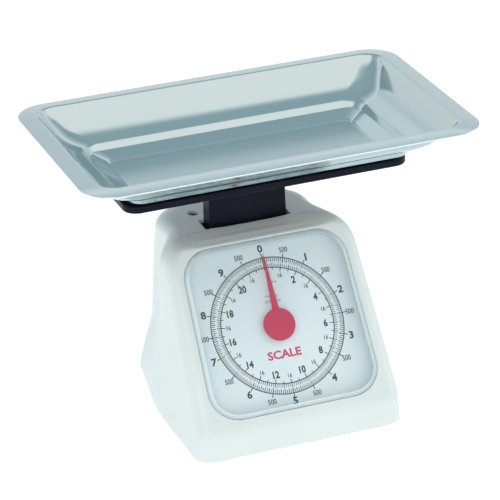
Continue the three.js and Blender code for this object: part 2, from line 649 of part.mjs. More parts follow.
const GUIDE_PIN_RADIUS = 1.6;
const ZERO_HEAD_RADIUS = 3.6;
const SHELF_TOP = CHASSIS_SHELF_Z + CHASSIS_SHEET;

function makeZeroScrew() {
  const seat = SHELF_TOP + GAP;
  const crown = DECK_Z - WALL - 1.2;
  const body = turned([[0, ANCHOR_Z - 5], [ZERO_SCREW_RADIUS, ANCHOR_Z - 4.5], [ZERO_SCREW_RADIUS, seat],
    [4.2, seat], [4.2, seat + 2], [ZERO_HEAD_RADIUS, seat + 2.6], [ZERO_HEAD_RADIUS, crown - 0.6],
    [ZERO_HEAD_RADIUS - 0.6, crown], [0, crown]], ZERO_HOLE_X, ZERO_HOLE_Y, 0, 16);
  const x = ZERO_HOLE_X;
  const slot = block(x - 6, x + 6, ZERO_HOLE_Y - 0.6, ZERO_HOLE_Y + 0.6, crown - 1.6, crown + 2);
  return cut(body, slot);
}

function makeGuidePin() {
  const seat = SHELF_TOP + GAP;
  return turned([[0, ANCHOR_Z - 5], [GUIDE_PIN_RADIUS, ANCHOR_Z - 4.5], [GUIDE_PIN_RADIUS, seat],
    [3, seat], [3, seat + 1.4], [0, seat + 1.4]], -ZERO_HOLE_X, ZERO_HOLE_Y, 0, 12);
}

function makeAnchor() {
  const end = 7 - ZERO_HOLE_X;
  const [low, high] = [ANCHOR_Z - 3, ANCHOR_Z + 6];
  const plate = block(-end, end, SPRING_Y - 5, ZERO_HOLE_Y + 6, ANCHOR_Z, ANCHOR_Z + ANCHOR_SHEET);
  const springHoles = [-SPRING_X, SPRING_X].map((x) => {
    return block(x - 2, x + 2, SPRING_Y - 1.6, SPRING_Y + 1.6, low, high);
  });
  const screwHole = rodAlongZ(ZERO_HOLE_X, ZERO_HOLE_Y, ZERO_SCREW_RADIUS + PLAY, low, high, 16);
  const pinHole = rodAlongZ(-ZERO_HOLE_X, ZERO_HOLE_Y, GUIDE_PIN_RADIUS + PLAY, low, high, 16);
  return cut(plate, ...springHoles, screwHole, pinHole);
}

// ---- Springs: a straight end through the anchor, the coil, and a straight end through the carriage ----

const SPRING_FOOT_Z = CARRIAGE_BOTTOM + CARRIAGE_SHEET;

function makeSpring(side) {
  const top = ANCHOR_Z + ANCHOR_SHEET + 2.2;
  const bottom = CARRIAGE_BOTTOM - 2.2;
  const coilTop = ANCHOR_Z - 7;
  const coilBottom = SPRING_FOOT_Z + 7;
  const x = side * SPRING_X;
  const points = [new THREE.Vector3(x, SPRING_Y, bottom), new THREE.Vector3(x, SPRING_Y, SPRING_FOOT_Z + 3)];
  const steps = SPRING_TURNS * 8;
  for (let i = 0; i <= steps; i++) {
    const angle = 2 * Math.PI * i / 8;
    const z = THREE.MathUtils.lerp(coilBottom, coilTop, i / steps);
    const [across, along] = [SPRING_COIL_RADIUS * Math.cos(angle), SPRING_COIL_RADIUS * Math.sin(angle)];
    points.push(new THREE.Vector3(x + across, SPRING_Y + along, z));
  }
  points.push(new THREE.Vector3(x, SPRING_Y, ANCHOR_Z - 3), new THREE.Vector3(x, SPRING_Y, top));
  const route = new THREE.CatmullRomCurve3(points, false, 'centripetal');
  const section = new THREE.Shape();
  for (let i = 0; i < 5; i++) {
    const angle = 2 * Math.PI * i / 5;
    const px = SPRING_WIRE_RADIUS * Math.cos(angle);
    const py = SPRING_WIRE_RADIUS * Math.sin(angle);
    if (i === 0) section.moveTo(px, py);
    else section.lineTo(px, py);
  }
  return new THREE.ExtrudeGeometry(section, { steps: steps + 10, extrudePath: route, bevelEnabled: false });
}

// ---- Levers: two arms and a cross web, hinged at the back, slotted at the front ----

const LEVER_X = CARRIAGE_HALF_WIDTH + CARRIAGE_SHEET + 1.2;
const LEVER_REST_ANGLE = PLATFORM_TRAVEL / 2 / LEVER_LENGTH;
const PIN_Y = ROD_Y - LEVER_LENGTH;

function makeLever(rodZ) {
  const half = LEVER_HEIGHT / 2;
  const reach = LEVER_LENGTH * (1 + LEVER_REST_ANGLE ** 2 / 4);
  const slide = LEVER_LENGTH * (1 - Math.cos(LEVER_REST_ANGLE)) / 2 + 0.2;
  const arms = [-1, 1].map((s) => {
    const inner = s > 0 ? LEVER_X : -LEVER_X - LEVER_SHEET;
    return join(
      block(inner, inner + LEVER_SHEET, -reach, 0, -half, half),
      rodAlongX(0, 0, half, inner, inner + LEVER_SHEET, 16),
      rodAlongX(-reach, 0, half, inner, inner + LEVER_SHEET, 16),
    );
  });
  const web = block(-LEVER_X - 0.5, LEVER_X + 0.5, -14, -14 + LEVER_SHEET, -half, half);
  const far = LEVER_X + 8;
  const rodHole = rodAlongX(0, 0, ROD_RADIUS + PLAY, -far, far, 16);
  const pinHole = CARRIAGE_PIN_RADIUS + PLAY;
  const slot = join(
    rodAlongX(-reach - slide, 0, pinHole, -far, far, 16),
    rodAlongX(-reach + slide, 0, pinHole, -far, far, 16),
    block(-far, far, -reach - slide, -reach + slide, -pinHole, pinHole),
  );
  const lever = cut(join(...arms, web), rodHole, slot);
  return lever.rotateX(-LEVER_REST_ANGLE).translate(0, ROD_Y, rodZ);
}

// ---- Carriage: back plate, side cheeks, spring shelf and rack arm ----

const LOWER_PIN_Z = LOWER_ROD_Z + PLATFORM_TRAVEL / 2;
const UPPER_PIN_Z = UPPER_ROD_Z + PLATFORM_TRAVEL / 2;
const PLATE_Y = COLUMN_Y - CARRIAGE_SHEET / 2;
const COLUMN_SCREW_X = COLUMN_WIDTH / 2 - 12.5;
const COLUMN_SCREW_Z = COLUMN_BOTTOM + 11;
const COLUMN_SCREW_RADIUS = 1.5;
const ARM_Z = DIAL_Z + RACK_SCREW_UP * Math.cos(DIAL_TILT) + RACK_MIDDLE * Math.sin(DIAL_TILT);
const ARM_Y = DIAL_Y + RACK_SCREW_UP * Math.sin(DIAL_TILT) - RACK_MIDDLE * Math.cos(DIAL_TILT);

function columnScrewHoles(y0, y1) {
  return [-COLUMN_SCREW_X, COLUMN_SCREW_X].map((x) => {
    return rodAlongY(x, COLUMN_SCREW_Z, COLUMN_SCREW_RADIUS + PLAY, y0, y1, 12);
  });
}

function makeCarriage() {
  const t = CARRIAGE_SHEET;
  const w = CARRIAGE_HALF_WIDTH;
  const plate = block(-w, w, PLATE_Y, PLATE_Y + t, CARRIAGE_BOTTOM, CARRIAGE_TOP);
  const shelf = block(-w, w, PLATE_Y, SPRING_Y + 6, CARRIAGE_BOTTOM, CARRIAGE_BOTTOM + t);
  const cheeks = [-1, 1].map((s) => {
    const inner = s > 0 ? w - 0.01 : -w - t + 0.01;
    const back = Math.max(PLATE_Y + t, PIN_Y + 5);
    return block(inner, inner + t, Math.min(PIN_Y - 5, PLATE_Y), back, CARRIAGE_BOTTOM, UPPER_PIN_Z + 7);
  });
  const arm = block(ARM_X, ARM_X + ARM_SHEET, ARM_Y - 5, PLATE_Y + 1, ARM_Z - 6, ARM_Z + 6);
  const window = block(-w + 8, w - 8, PLATE_Y - 5, PLATE_Y + t + 5, CARRIAGE_BOTTOM + 16, ARM_Z - 16);
  const pinHoles = [LOWER_PIN_Z, UPPER_PIN_Z].map((z) => {
    return rodAlongX(PIN_Y, z, CARRIAGE_PIN_RADIUS + PLAY, -w - 9, w + 9, 16);
  });
  const springHoles = [-SPRING_X, SPRING_X].map((x) => {
    return rodAlongZ(x, SPRING_Y, 2, CARRIAGE_BOTTOM - 3, CARRIAGE_BOTTOM + 9, 12);
  });
  const armHole = rodAlongX(ARM_Y, ARM_Z, RACK_SCREW_RADIUS + PLAY, ARM_X - 2, ARM_X + ARM_SHEET + 2, 12);
  const columnHoles = columnScrewHoles(PLATE_Y - 5, PLATE_Y + 9);
  const whole = join(cut(plate, window), shelf, ...cheeks, arm);
  return cut(whole, ...pinHoles, ...springHoles, armHole, ...columnHoles);
}

function makeCarriagePin(z) {
  const end = LEVER_X + LEVER_SHEET + 1.6;
  return rodAlongX(PIN_Y, z, CARRIAGE_PIN_RADIUS, -end, end, 16);
}

function makeColumnScrew(x) {
  const back = COLUMN_Y + COLUMN_DEPTH / 2 + GAP;
  const shank = rodAlongY(x, COLUMN_SCREW_Z, COLUMN_SCREW_RADIUS, PLATE_Y - 1.2, back + 0.5, 12);
  return join(shank, rodAlongY(x, COLUMN_SCREW_Z, 2.8, back, back + 1.2, 12));
}

// ---- Column: a hollow box with a closed top that carries the support plate ----

const COLUMN_TOP = SUPPORT_TOP - SUPPORT_SKIN - GAP;
const COLUMN_CORNER = 2;
const PLATFORM_SCREW_X = COLUMN_WIDTH / 2 - 8.5;
const PLATFORM_SCREWS = bothSides(
  { x: PLATFORM_SCREW_X, y: COLUMN_Y - 3 },
  { x: PLATFORM_SCREW_X, y: COLUMN_Y + 3 },
);
const PLATFORM_SCREW_RADIUS = 1.4;
const PLATFORM_SCREW_HEAD = 2.4;
const PLATFORM_SCREW_SEAT = 1.3;

function columnLoop(inset, z) {
  const corner = Math.max(0.4, COLUMN_CORNER - inset);
  const loop = roundedLoop(COLUMN_WIDTH / 2 - inset, COLUMN_DEPTH / 2 - inset, corner, z, 3);
  return loop.map((p) => p.setY(p.y + COLUMN_Y));
}

function makeColumn() {
  const outer = skin([columnLoop(0, COLUMN_BOTTOM), columnLoop(0.4, COLUMN_TOP)]);
  const hollow = [columnLoop(COLUMN_WALL, COLUMN_BOTTOM - 3), columnLoop(COLUMN_WALL + 0.4, COLUMN_TOP - 4)];
  const screwHoles = columnScrewHoles(COLUMN_Y + 2, COLUMN_Y + COLUMN_DEPTH);
  const topHoles = PLATFORM_SCREWS.map(({ x, y }) => {
    return rodAlongZ(x, y, PLATFORM_SCREW_RADIUS + PLAY, COLUMN_TOP - 8, COLUMN_TOP + 3, 12);
  });
  return cut(outer, skin(hollow), ...screwHoles, ...topHoles);
}

// ---- Support plate under the tray ----

function makeSupport() {
  const bottom = SUPPORT_TOP - SUPPORT_THICK;
  const halfX = SUPPORT_WIDTH / 2;
  const halfY = SUPPORT_DEPTH / 2;
  const ring = (inset, z) => roundedLoop(halfX - inset, halfY - inset, SUPPORT_CORNER - inset, z);
  const rim = SUPPORT_TOP - 0.5;
  const outer = skin([ring(1, bottom), ring(0, bottom + 1), ring(0, rim), ring(0.5, SUPPORT_TOP)]);
  const hollow = skin([ring(3, bottom - 3), ring(3, SUPPORT_TOP - SUPPORT_SKIN)]);
  const ribBottom = bottom + 1.2;
  const clear = GAP + 0.8;
  const socketX = COLUMN_WIDTH / 2 + clear;
  const socketY = COLUMN_DEPTH / 2 + clear;
  const ribs = [
    ...[-1, 1].flatMap((side) => [30, 58].map((inset) => {
      const x = side * (halfX - inset);
      return block(x - 1, x + 1, -halfY + 1, halfY - 1, ribBottom, SUPPORT_TOP - 1);
    })),
    ...[24 - halfY, halfY - 16].map((y) => {
      return block(-halfX + 1, halfX - 1, y - 1, y + 1, ribBottom, SUPPORT_TOP - 1);
    }),
  ];
  const socket = (wall, z0, z1) => {
    const [x, y] = [socketX + wall, socketY + wall];
    return block(-x, x, COLUMN_Y - y, COLUMN_Y + y, z0, z1);
  };
  const space = socket(0, ribBottom - 3, SUPPORT_TOP - SUPPORT_SKIN);
  const collar = cut(socket(2.4, ribBottom, SUPPORT_TOP - 1), space);
  const holes = PLATFORM_SCREWS.flatMap(({ x, y }) => [
    rodAlongZ(x, y, PLATFORM_SCREW_RADIUS + PLAY, bottom, SUPPORT_TOP + 2, 12),
    rodAlongZ(x, y, PLATFORM_SCREW_HEAD + PLAY, SUPPORT_TOP - PLATFORM_SCREW_SEAT, SUPPORT_TOP + 2, 12),
  ]);
  return cut(join(cut(outer, hollow), ...ribs, collar), ...holes);
}

function makePlatformScrew({ x, y }) {
  const top = SUPPORT_TOP - 0.1;
  const seat = SUPPORT_TOP - PLATFORM_SCREW_SEAT + GAP;
  const radius = PLATFORM_SCREW_RADIUS;
  return turned([[0, COLUMN_TOP - 5.5], [radius, COLUMN_TOP - 5], [radius, seat],
    [PLATFORM_SCREW_HEAD, seat], [PLATFORM_SCREW_HEAD, top], [0, top]], x, y, 0, 12);
}

// ---- Tray: one pressed sheet with a rim, a sloped wall, a ledge and a shallow well ----

const TRAY_FLOOR_Z = SUPPORT_TOP + GAP + TRAY_SHEET;

function makeTray() {
  const halfX = TRAY_WIDTH / 2;
  const halfY = TRAY_DEPTH / 2;
  const flangeX = halfX - TRAY_FLANGE;
  const flangeY = halfY - TRAY_FLANGE;
  const ledgeX = halfX - TRAY_LEDGE_INSET_X;
  const ledgeY = halfY - TRAY_LEDGE_INSET_Y;
  const wellX = ledgeX - TRAY_LEDGE_WIDTH_X;
  const wellY = ledgeY - TRAY_LEDGE_WIDTH_Y;
  const wall = [0.14, 0.4, 0.7, 0.9].map((share) => ({
    x: THREE.MathUtils.lerp(flangeX, ledgeX, share),
    y: THREE.MathUtils.lerp(flangeY, ledgeY, share),
    z: THREE.MathUtils.lerp(TRAY_RIM_Z, TRAY_LEDGE_Z, Math.sin(share * Math.PI / 2) ** 1.15),
    r: THREE.MathUtils.lerp(14, 22, share),
  }));
  const upper = [
    { x: halfX, y: halfY, z: TRAY_RIM_Z - 0.8, r: TRAY_CORNER },
    { x: halfX - 0.9, y: halfY - 0.9, z: TRAY_RIM_Z, r: TRAY_CORNER - 0.9 },
    { x: flangeX + 1, y: flangeY + 1, z: TRAY_RIM_Z, r: 13 },
    ...wall,
    { x: ledgeX - 3, y: ledgeY - 3, z: TRAY_LEDGE_Z, r: 22 },
    { x: wellX, y: wellY, z: TRAY_LEDGE_Z, r: 14 },
    { x: wellX - TRAY_WELL_SLOPE + 0.8, y: wellY - TRAY_WELL_SLOPE + 0.8, z: TRAY_FLOOR_Z + 1.4, r: 11 },
    { x: wellX - TRAY_WELL_SLOPE - 0.8, y: wellY - TRAY_WELL_SLOPE - 0.8, z: TRAY_FLOOR_Z, r: 10 },
  ];
  const top = upper.map(({ x, y, z, r }) => roundedLoop(x, y, r, z));
  const t = TRAY_SHEET;
  const under = upper.map(({ x, y, z, r }, i) => {
    const lip = i === 0;
    const flat = i === 1 || i === 2;
    const out = lip || i === 1 ? -t : (flat ? 0 : t * 0.55);
    const drop = lip ? 0 : (i >= upper.length - 4 || flat ? t : t * 0.75);
    return roundedLoop(x + out, y + out, Math.max(2, r + out), z - drop);
  });
  const lipOuter = roundedLoop(halfX, halfY, TRAY_CORNER, TRAY_RIM_Z - TRAY_LIP);
  const lipInner = roundedLoop(halfX - t, halfY - t, TRAY_CORNER - t, TRAY_RIM_Z - TRAY_LIP);
  const rows = [...under.slice(1).reverse(), lipInner, lipOuter, ...top];
  return toGeometry(toSolid(skin(rows)));
}

// ---- Overload bumper on the base plate, just under the carriage at full load ----

function makeBumper() {
  const top = CARRIAGE_BOTTOM - PLATFORM_TRAVEL - 0.8;
  const z0 = BASE_PLATE_TOP + GAP;
  return turned([[0, z0], [8, z0], [8, z0 + 2], [5, top - 1.5], [3.5, top], [0, top]], 0, 24, 0, 16);
}

// ---- Assembly ----

const scale = new THREE.Group();
const face = new THREE.Group();
face.rotation.x = Math.PI / 2 - DIAL_TILT;
face.position.set(0, DIAL_Y, DIAL_Z);
scale.add(face);

function add(name, geometry, material, parent = scale) {
  const mesh = new THREE.Mesh(geometry, material);
  mesh.name = name;
  parent.add(mesh);
}

add('housing_shell', makeHousing(), whitePlastic);
add('base_plate', makeBasePlate(), zincSteel);
FEET.forEach((foot, i) => add(`rubber_foot_${i + 1}`, makeFoot(foot), rubber));
POSTS.forEach((post, i) => add(`base_screw_${i + 1}`, makeBaseScrew(post), zincSteel));

add('dial_plate', makeDialPlate(), dialPaint, face);
add('dial_lens', makeLens(), clearPlastic, face);
add('pointer', makePointer(), redPlastic, face);
add('spindle', makeSpindle(), zincSteel, face);
add('pinion', makePinion(), brass, face);
add('spindle_bracket', makeBracket(), zincSteel, face);
add('front_bush', makeBush(BRACKET_FRONT), brass, face);
add('rear_bush', makeBush(BRACKET_REAR), brass, face);
[-BRACKET_SCREW_X, BRACKET_SCREW_X].forEach((x, i) => {
  add(`bracket_screw_${i + 1}`, makeBracketScrew(x), zincSteel, face);
});

add('chassis', makeChassis(), zincSteel);
CHASSIS_SCREWS.forEach((place, i) => add(`chassis_screw_${i + 1}`, makeChassisScrew(place), zincSteel));
add('upper_pivot_rod', makePivotRod(UPPER_ROD_Z), zincSteel);
add('lower_pivot_rod', makePivotRod(LOWER_ROD_Z), zincSteel);
add('overload_bumper', makeBumper(), rubber);
add('anchor_guide_pin', makeGuidePin(), zincSteel);
add('zero_screw', makeZeroScrew(), brass);
add('spring_anchor', makeAnchor(), zincSteel);
add('spring_left', makeSpring(-1), zincSteel);
add('spring_right', makeSpring(1), zincSteel);

add('upper_lever', makeLever(UPPER_ROD_Z), zincSteel);
add('lower_lever', makeLever(LOWER_ROD_Z), zincSteel);

add('carriage', makeCarriage(), zincSteel);
add('upper_carriage_pin', makeCarriagePin(UPPER_PIN_Z), zincSteel);
add('lower_carriage_pin', makeCarriagePin(LOWER_PIN_Z), zincSteel);
add('rack', makeRack(), brass, face);
add('rack_screw', makeRackScrew(), zincSteel, face);
add('column', makeColumn(), blackPlastic);
[-COLUMN_SCREW_X, COLUMN_SCREW_X].forEach((x, i) => {
  add(`column_screw_${i + 1}`, makeColumnScrew(x), zincSteel);
});
add('support_plate', makeSupport(), blackPlastic);
PLATFORM_SCREWS.forEach((place, i) => add(`platform_screw_${i + 1}`, makePlatformScrew(place), zincSteel));

add('tray', makeTray(), stainless);

export default scale;
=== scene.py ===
import json
import math

import bpy
import numpy as np
from mathutils import Matrix, Vector


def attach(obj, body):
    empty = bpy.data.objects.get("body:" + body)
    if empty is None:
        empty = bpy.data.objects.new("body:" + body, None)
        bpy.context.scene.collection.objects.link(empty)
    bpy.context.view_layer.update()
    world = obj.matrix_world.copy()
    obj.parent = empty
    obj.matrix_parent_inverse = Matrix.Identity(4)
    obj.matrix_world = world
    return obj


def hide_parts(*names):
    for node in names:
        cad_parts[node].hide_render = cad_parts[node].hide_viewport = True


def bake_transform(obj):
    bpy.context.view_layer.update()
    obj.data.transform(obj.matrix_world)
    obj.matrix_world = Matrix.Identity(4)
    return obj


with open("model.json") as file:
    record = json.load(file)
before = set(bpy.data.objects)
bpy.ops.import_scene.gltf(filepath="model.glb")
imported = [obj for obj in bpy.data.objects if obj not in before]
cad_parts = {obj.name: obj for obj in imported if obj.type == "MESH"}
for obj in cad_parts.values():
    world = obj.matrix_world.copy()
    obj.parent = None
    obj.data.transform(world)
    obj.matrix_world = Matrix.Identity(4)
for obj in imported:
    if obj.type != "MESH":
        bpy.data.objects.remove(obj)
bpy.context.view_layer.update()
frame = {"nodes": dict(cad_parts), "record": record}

# ---------------------------------------------------------------------------------------------
# The studio. A pale seamless floor, a pale surround that is darker overhead, and large soft
# lights: one over the front left as the key, one on the right as a fill, a weaker one far left.
# ---------------------------------------------------------------------------------------------

MM = 0.001

scene = bpy.context.scene
scene.view_settings.view_transform = "Standard"
scene.view_settings.look = "None"

AIM = Vector((0.0, 3.41, 128.34)) * MM
CAMERA_AWAY = 2352.35 * MM
CAMERA_TURN = math.radians(-20.12)
CAMERA_RISE = math.radians(24.52)
CAMERA_ROLL = math.radians(-2.20)
CAMERA_LENS = 208.63

camera = bpy.data.objects.new("camera", bpy.data.cameras.new("camera"))
camera.data.lens = CAMERA_LENS
camera.data.sensor_width = 36.0
camera.data.clip_start = 0.05
camera.data.clip_end = 30.0
away = Vector((
    math.sin(CAMERA_TURN) * math.cos(CAMERA_RISE),
    -math.cos(CAMERA_TURN) * math.cos(CAMERA_RISE),
    math.sin(CAMERA_RISE),
))
camera.location = AIM + away * CAMERA_AWAY
across = (-away).cross(Vector((0.0, 0.0, 1.0))).normalized()
upward = across.cross(-away)
rolled_across = across * math.cos(CAMERA_ROLL) + upward * math.sin(CAMERA_ROLL)
rolled_upward = upward * math.cos(CAMERA_ROLL) - across * math.sin(CAMERA_ROLL)
camera.rotation_mode = "QUATERNION"
camera.rotation_quaternion = Matrix((rolled_across, rolled_upward, away)).transposed().to_quaternion()
scene.collection.objects.link(camera)
scene.camera = camera


def lamp(name, place, aim, size, power, color=(1.0, 1.0, 1.0)):
    """A square soft light of this size in metres at place, turned to aim."""
    light = bpy.data.lights.new(name, "AREA")
    light.shape = "SQUARE"
    light.size = size
    light.energy = power
    light.color = color
    holder = bpy.data.objects.new(name, light)
    holder.location = place
    holder.rotation_mode = "QUATERNION"
    holder.rotation_quaternion = (Vector(aim) - Vector(place)).to_track_quat("-Z", "Y")
    scene.collection.objects.link(holder)
    return holder


lamp("key_light", (-1.1, -2.0, 1.34), AIM, 1.4, 11.0)
lamp("fill_light", (1.9, -0.5, 0.85), AIM, 1.2, 7.0)
lamp("side_light", (-1.9, 0.4, 0.75), AIM, 1.0, 4.0)

world = bpy.data.worlds.new("surround")
world.use_nodes = True
scene.world = world
sky = world.node_tree
sky_coords = sky.nodes.new("ShaderNodeTexCoord")
sky_split = sky.nodes.new("ShaderNodeSeparateXYZ")
sky.links.new(sky_coords.outputs["Generated"], sky_split.inputs[0])


def sky_band(stops):
    """Colours by height over the horizon: each stop is the sine of the height and a colour."""
    band = sky.nodes.new("ShaderNodeValToRGB")
    ramp = band.color_ramp
    ramp.elements[0].position, ramp.elements[0].color = stops[0][0], (*stops[0][1], 1.0)
    ramp.elements[1].position, ramp.elements[1].color = stops[-1][0], (*stops[-1][1], 1.0)
    for height, color in stops[1:-1]:
        ramp.elements.new(height).color = (*color, 1.0)
    sky.links.new(sky_split.outputs["Z"], band.inputs[0])
    return band.outputs[0]


behind = sky_band((
    (0.0, (0.80, 0.87, 0.88)),
    (0.30, (0.68, 0.77, 0.80)),
    (0.48, (0.60, 0.71, 0.75)),
    (0.57, (0.82, 0.93, 0.97)),
    (0.68, (0.52, 0.63, 0.67)),
    (0.80, (0.30, 0.44, 0.49)),
    (1.0, (0.34, 0.49, 0.53)),
))
in_front = sky_band((
    (0.0, (0.80, 0.87, 0.87)),
    (0.45, (0.95, 1.02, 1.0)),
    (0.92, (0.92, 1.0, 0.98)),
    (1.0, (0.36, 0.50, 0.54)),
))
front_share = sky.nodes.new("ShaderNodeMapRange")
front_share.interpolation_type = "SMOOTHSTEP"
front_share.inputs["From Min"].default_value = 0.02
front_share.inputs["From Max"].default_value = -0.22
sky.links.new(sky_split.outputs["Y"], front_share.inputs["Value"])
sky_mix = sky.nodes.new("ShaderNodeMix")
sky_mix.data_type = "RGBA"
sky.links.new(front_share.outputs["Result"], sky_mix.inputs["Factor"])
sky.links.new(behind, sky_mix.inputs["A"])
sky.links.new(in_front, sky_mix.inputs["B"])
sky.links.new(sky_mix.outputs["Result"], sky.nodes["Background"].inputs["Color"])
sky.nodes["Background"].inputs["Strength"].default_value = 0.9

FLOOR_HALF = 6.0
floor_mesh = bpy.data.meshes.new("floor")
floor_mesh.from_pydata(
    [(sx * FLOOR_HALF, sy * FLOOR_HALF, 0.0) for sx, sy in ((-1, -1), (1, -1), (1, 1), (-1, 1))],
    [], [(0, 1, 2, 3)],
)
floor = bpy.data.objects.new("floor", floor_mesh)
scene.collection.objects.link(floor)
floor_paint = bpy.data.materials.new("floor_paint")
floor_paint.use_nodes = True
floor_shader = floor_paint.node_tree.nodes["Principled BSDF"]
floor_shader.inputs["Base Color"].default_value = (0.9, 0.91, 0.91, 1.0)
floor_shader.inputs["Roughness"].default_value = 0.9
floor_shader.inputs["Emission Color"].default_value = (1.0, 1.0, 1.0, 1.0)
floor_shader.inputs["Emission Strength"].default_value = 0.45
floor_mesh.materials.append(floor_paint)

# ---------------------------------------------------------------------------------------------
# The housing. One shell injection-moulded in white ABS, open below, with a tilted face, a
# rounded front rim parted from the deck by a seam, and a waist. Screws hold it from below.
# ---------------------------------------------------------------------------------------------

RIM_Z = 3.0
DECK_Z = 153.7
FENDER_Z = 154.9
WALL = 2.6
BASE_HALF_WIDTH = 88.4
BASE_FRONT_Y = -103.7
BASE_REAR_Y = 99.0
DECK_REAR_Y = 72.0
SHOULDER_HALF_WIDTH = 81.2
SHOULDER_RADIUS = 23.0
BACK_HALF_WIDTH = 65.0
BACK_FLARE = 6.0
BACK_EDGE_RADIUS = 11.0
BACK_CORNER_BASE = 24.0
BACK_CORNER_DECK = 32.0
FACE_EDGE_RADIUS = 14.0
FRONT_BAND_DROP = 2.4
FRONT_BAND_DEPTH = 10.6
SEAM_DEPTH = 0.9
SEAM_HALF_WIDTH = 0.6
SKIRT_SOFTNESS = 2.4
CREASE_Y = 1.6
CREASE_BEND = 7.0
CREASE_REACH = 66.0
DECK_EDGE_Z = (134.0, 151.0)
BAND_EDGE_Z = (149.0, 154.0)
BAND_ENDS_X = (46.0, 74.0)

DIAL_TILT = math.radians(34.0)
DIAL_PLACE = np.array((0.0, -54.5, 86.0))
DIAL_UP = np.array((0.0, math.sin(DIAL_TILT), math.cos(DIAL_TILT)))
DIAL_OUT = np.array((0.0, -math.cos(DIAL_TILT), math.sin(DIAL_TILT)))
FACE_OVER_DIAL = 7.0
FACE_Y, FACE_Z = (DIAL_PLACE + DIAL_OUT * FACE_OVER_DIAL)[1:]

WINDOW_HALF_WIDTH = 71.2
WINDOW_HALF_HEIGHT = 69.7
WINDOW_CENTRE_UP = 0.8
WINDOW_CORNER = 25.0
WINDOW_TAPER = 0.00035

COLUMN_Y = 12.4
SLOT_HALF = (36.5, 10.45)
ZERO_HOLE = (-35.0, 39.0)
ZERO_HOLE_RADIUS = 4.5


def surface(name, rows, around=True, ends=True, sharp=40.0):
    """A skin over a grid of points in millimetres: rows[i, j] is joined by four-sided faces to
    its neighbours in rows i + 1 and j + 1. around joins each row's end to its start, ends fills
    the first and the last row with one face each, and edges bent by more than sharp stay crisp."""
    count, wide = rows.shape[:2]
    i, j = np.meshgrid(np.arange(count - 1), np.arange(wide if around else wide - 1), indexing="ij")
    k = (j + 1) % wide
    quads = np.stack([i * wide + j, i * wide + k, (i + 1) * wide + k, (i + 1) * wide + j], -1)
    faces = quads.reshape(-1, 4).tolist()
    if ends:
        faces.append(np.arange(wide)[::-1].tolist())
        faces.append(np.arange((count - 1) * wide, count * wide).tolist())
    mesh = bpy.data.meshes.new(name)
    mesh.from_pydata((rows.reshape(-1, 3) * MM).tolist(), [], faces)
    mesh.polygons.foreach_set("use_smooth", np.ones(len(mesh.polygons), bool))
    mesh.set_sharp_from_angle(angle=math.radians(sharp))
    piece = bpy.data.objects.new(name, mesh)
    scene.collection.objects.link(piece)
    return piece


def applied(piece, sharp=40.0):
    """The piece with its modifiers worked into its mesh."""
    bpy.context.view_layer.update()
    graph = bpy.context.evaluated_depsgraph_get()
    mesh = bpy.data.meshes.new_from_object(piece.evaluated_get(graph))
    piece.modifiers.clear()
    piece.data = mesh
    mesh.polygons.foreach_set("use_smooth", np.ones(len(mesh.polygons), bool))
    mesh.set_sharp_from_angle(angle=math.radians(sharp))
    return piece


def cut_away(piece, *tools, sharp=40.0):
    """The piece less the space inside each closed tool. The tools are used up."""
    for tool in tools:
        step = piece.modifiers.new("cut", "BOOLEAN")
        step.operation = "DIFFERENCE"
        step.solver = "EXACT"
        step.object = tool
    applied(piece, sharp)
    for tool in tools:
        bpy.data.objects.remove(tool)
    return piece


def blend_between(low, high, share):
    """low where share is 0, high where it is 1, in proportion between."""
    return low + (high - low) * share


def eased(value, low, high):
    """0 below low, 1 above high, and 3t^2 - 2t^3 between them."""
    share = np.clip((value - low) / (high - low), 0.0, 1.0)
    return share * share * (3.0 - 2.0 * share)


def drawn_in(z, radius, top=FENDER_Z):
    """How far a rounded edge of this radius has drawn in at height z below its top."""
    return radius - np.sqrt(radius ** 2 - np.clip(z - (top - radius), 0.0, radius) ** 2)


def face_y(z):
    """The front's Y at height z: the upright skirt, the tilted face, and the rounded front rim.
    The skirt and the face meet in a soft edge: half their sum plus the root of their
    difference squared plus the softness squared."""
    slope = math.tan(DIAL_TILT)
    tilted = FACE_Y + (z - FACE_Z) * slope
    meeting = (tilted + BASE_FRONT_Y + np.sqrt((tilted - BASE_FRONT_Y) ** 2 + SKIRT_SOFTNESS ** 2)) / 2
    arc_z = FENDER_Z - FACE_EDGE_RADIUS
    arc_y = FACE_Y + (arc_z - FACE_Z) * slope + FACE_EDGE_RADIUS / math.cos(DIAL_TILT)
    over = np.clip(z - arc_z, -FACE_EDGE_RADIUS, FACE_EDGE_RADIUS)
    rounded = arc_y - np.sqrt(FACE_EDGE_RADIUS ** 2 - over ** 2)
    return np.where(z > arc_z + FACE_EDGE_RADIUS * math.sin(DIAL_TILT), rounded, meeting)


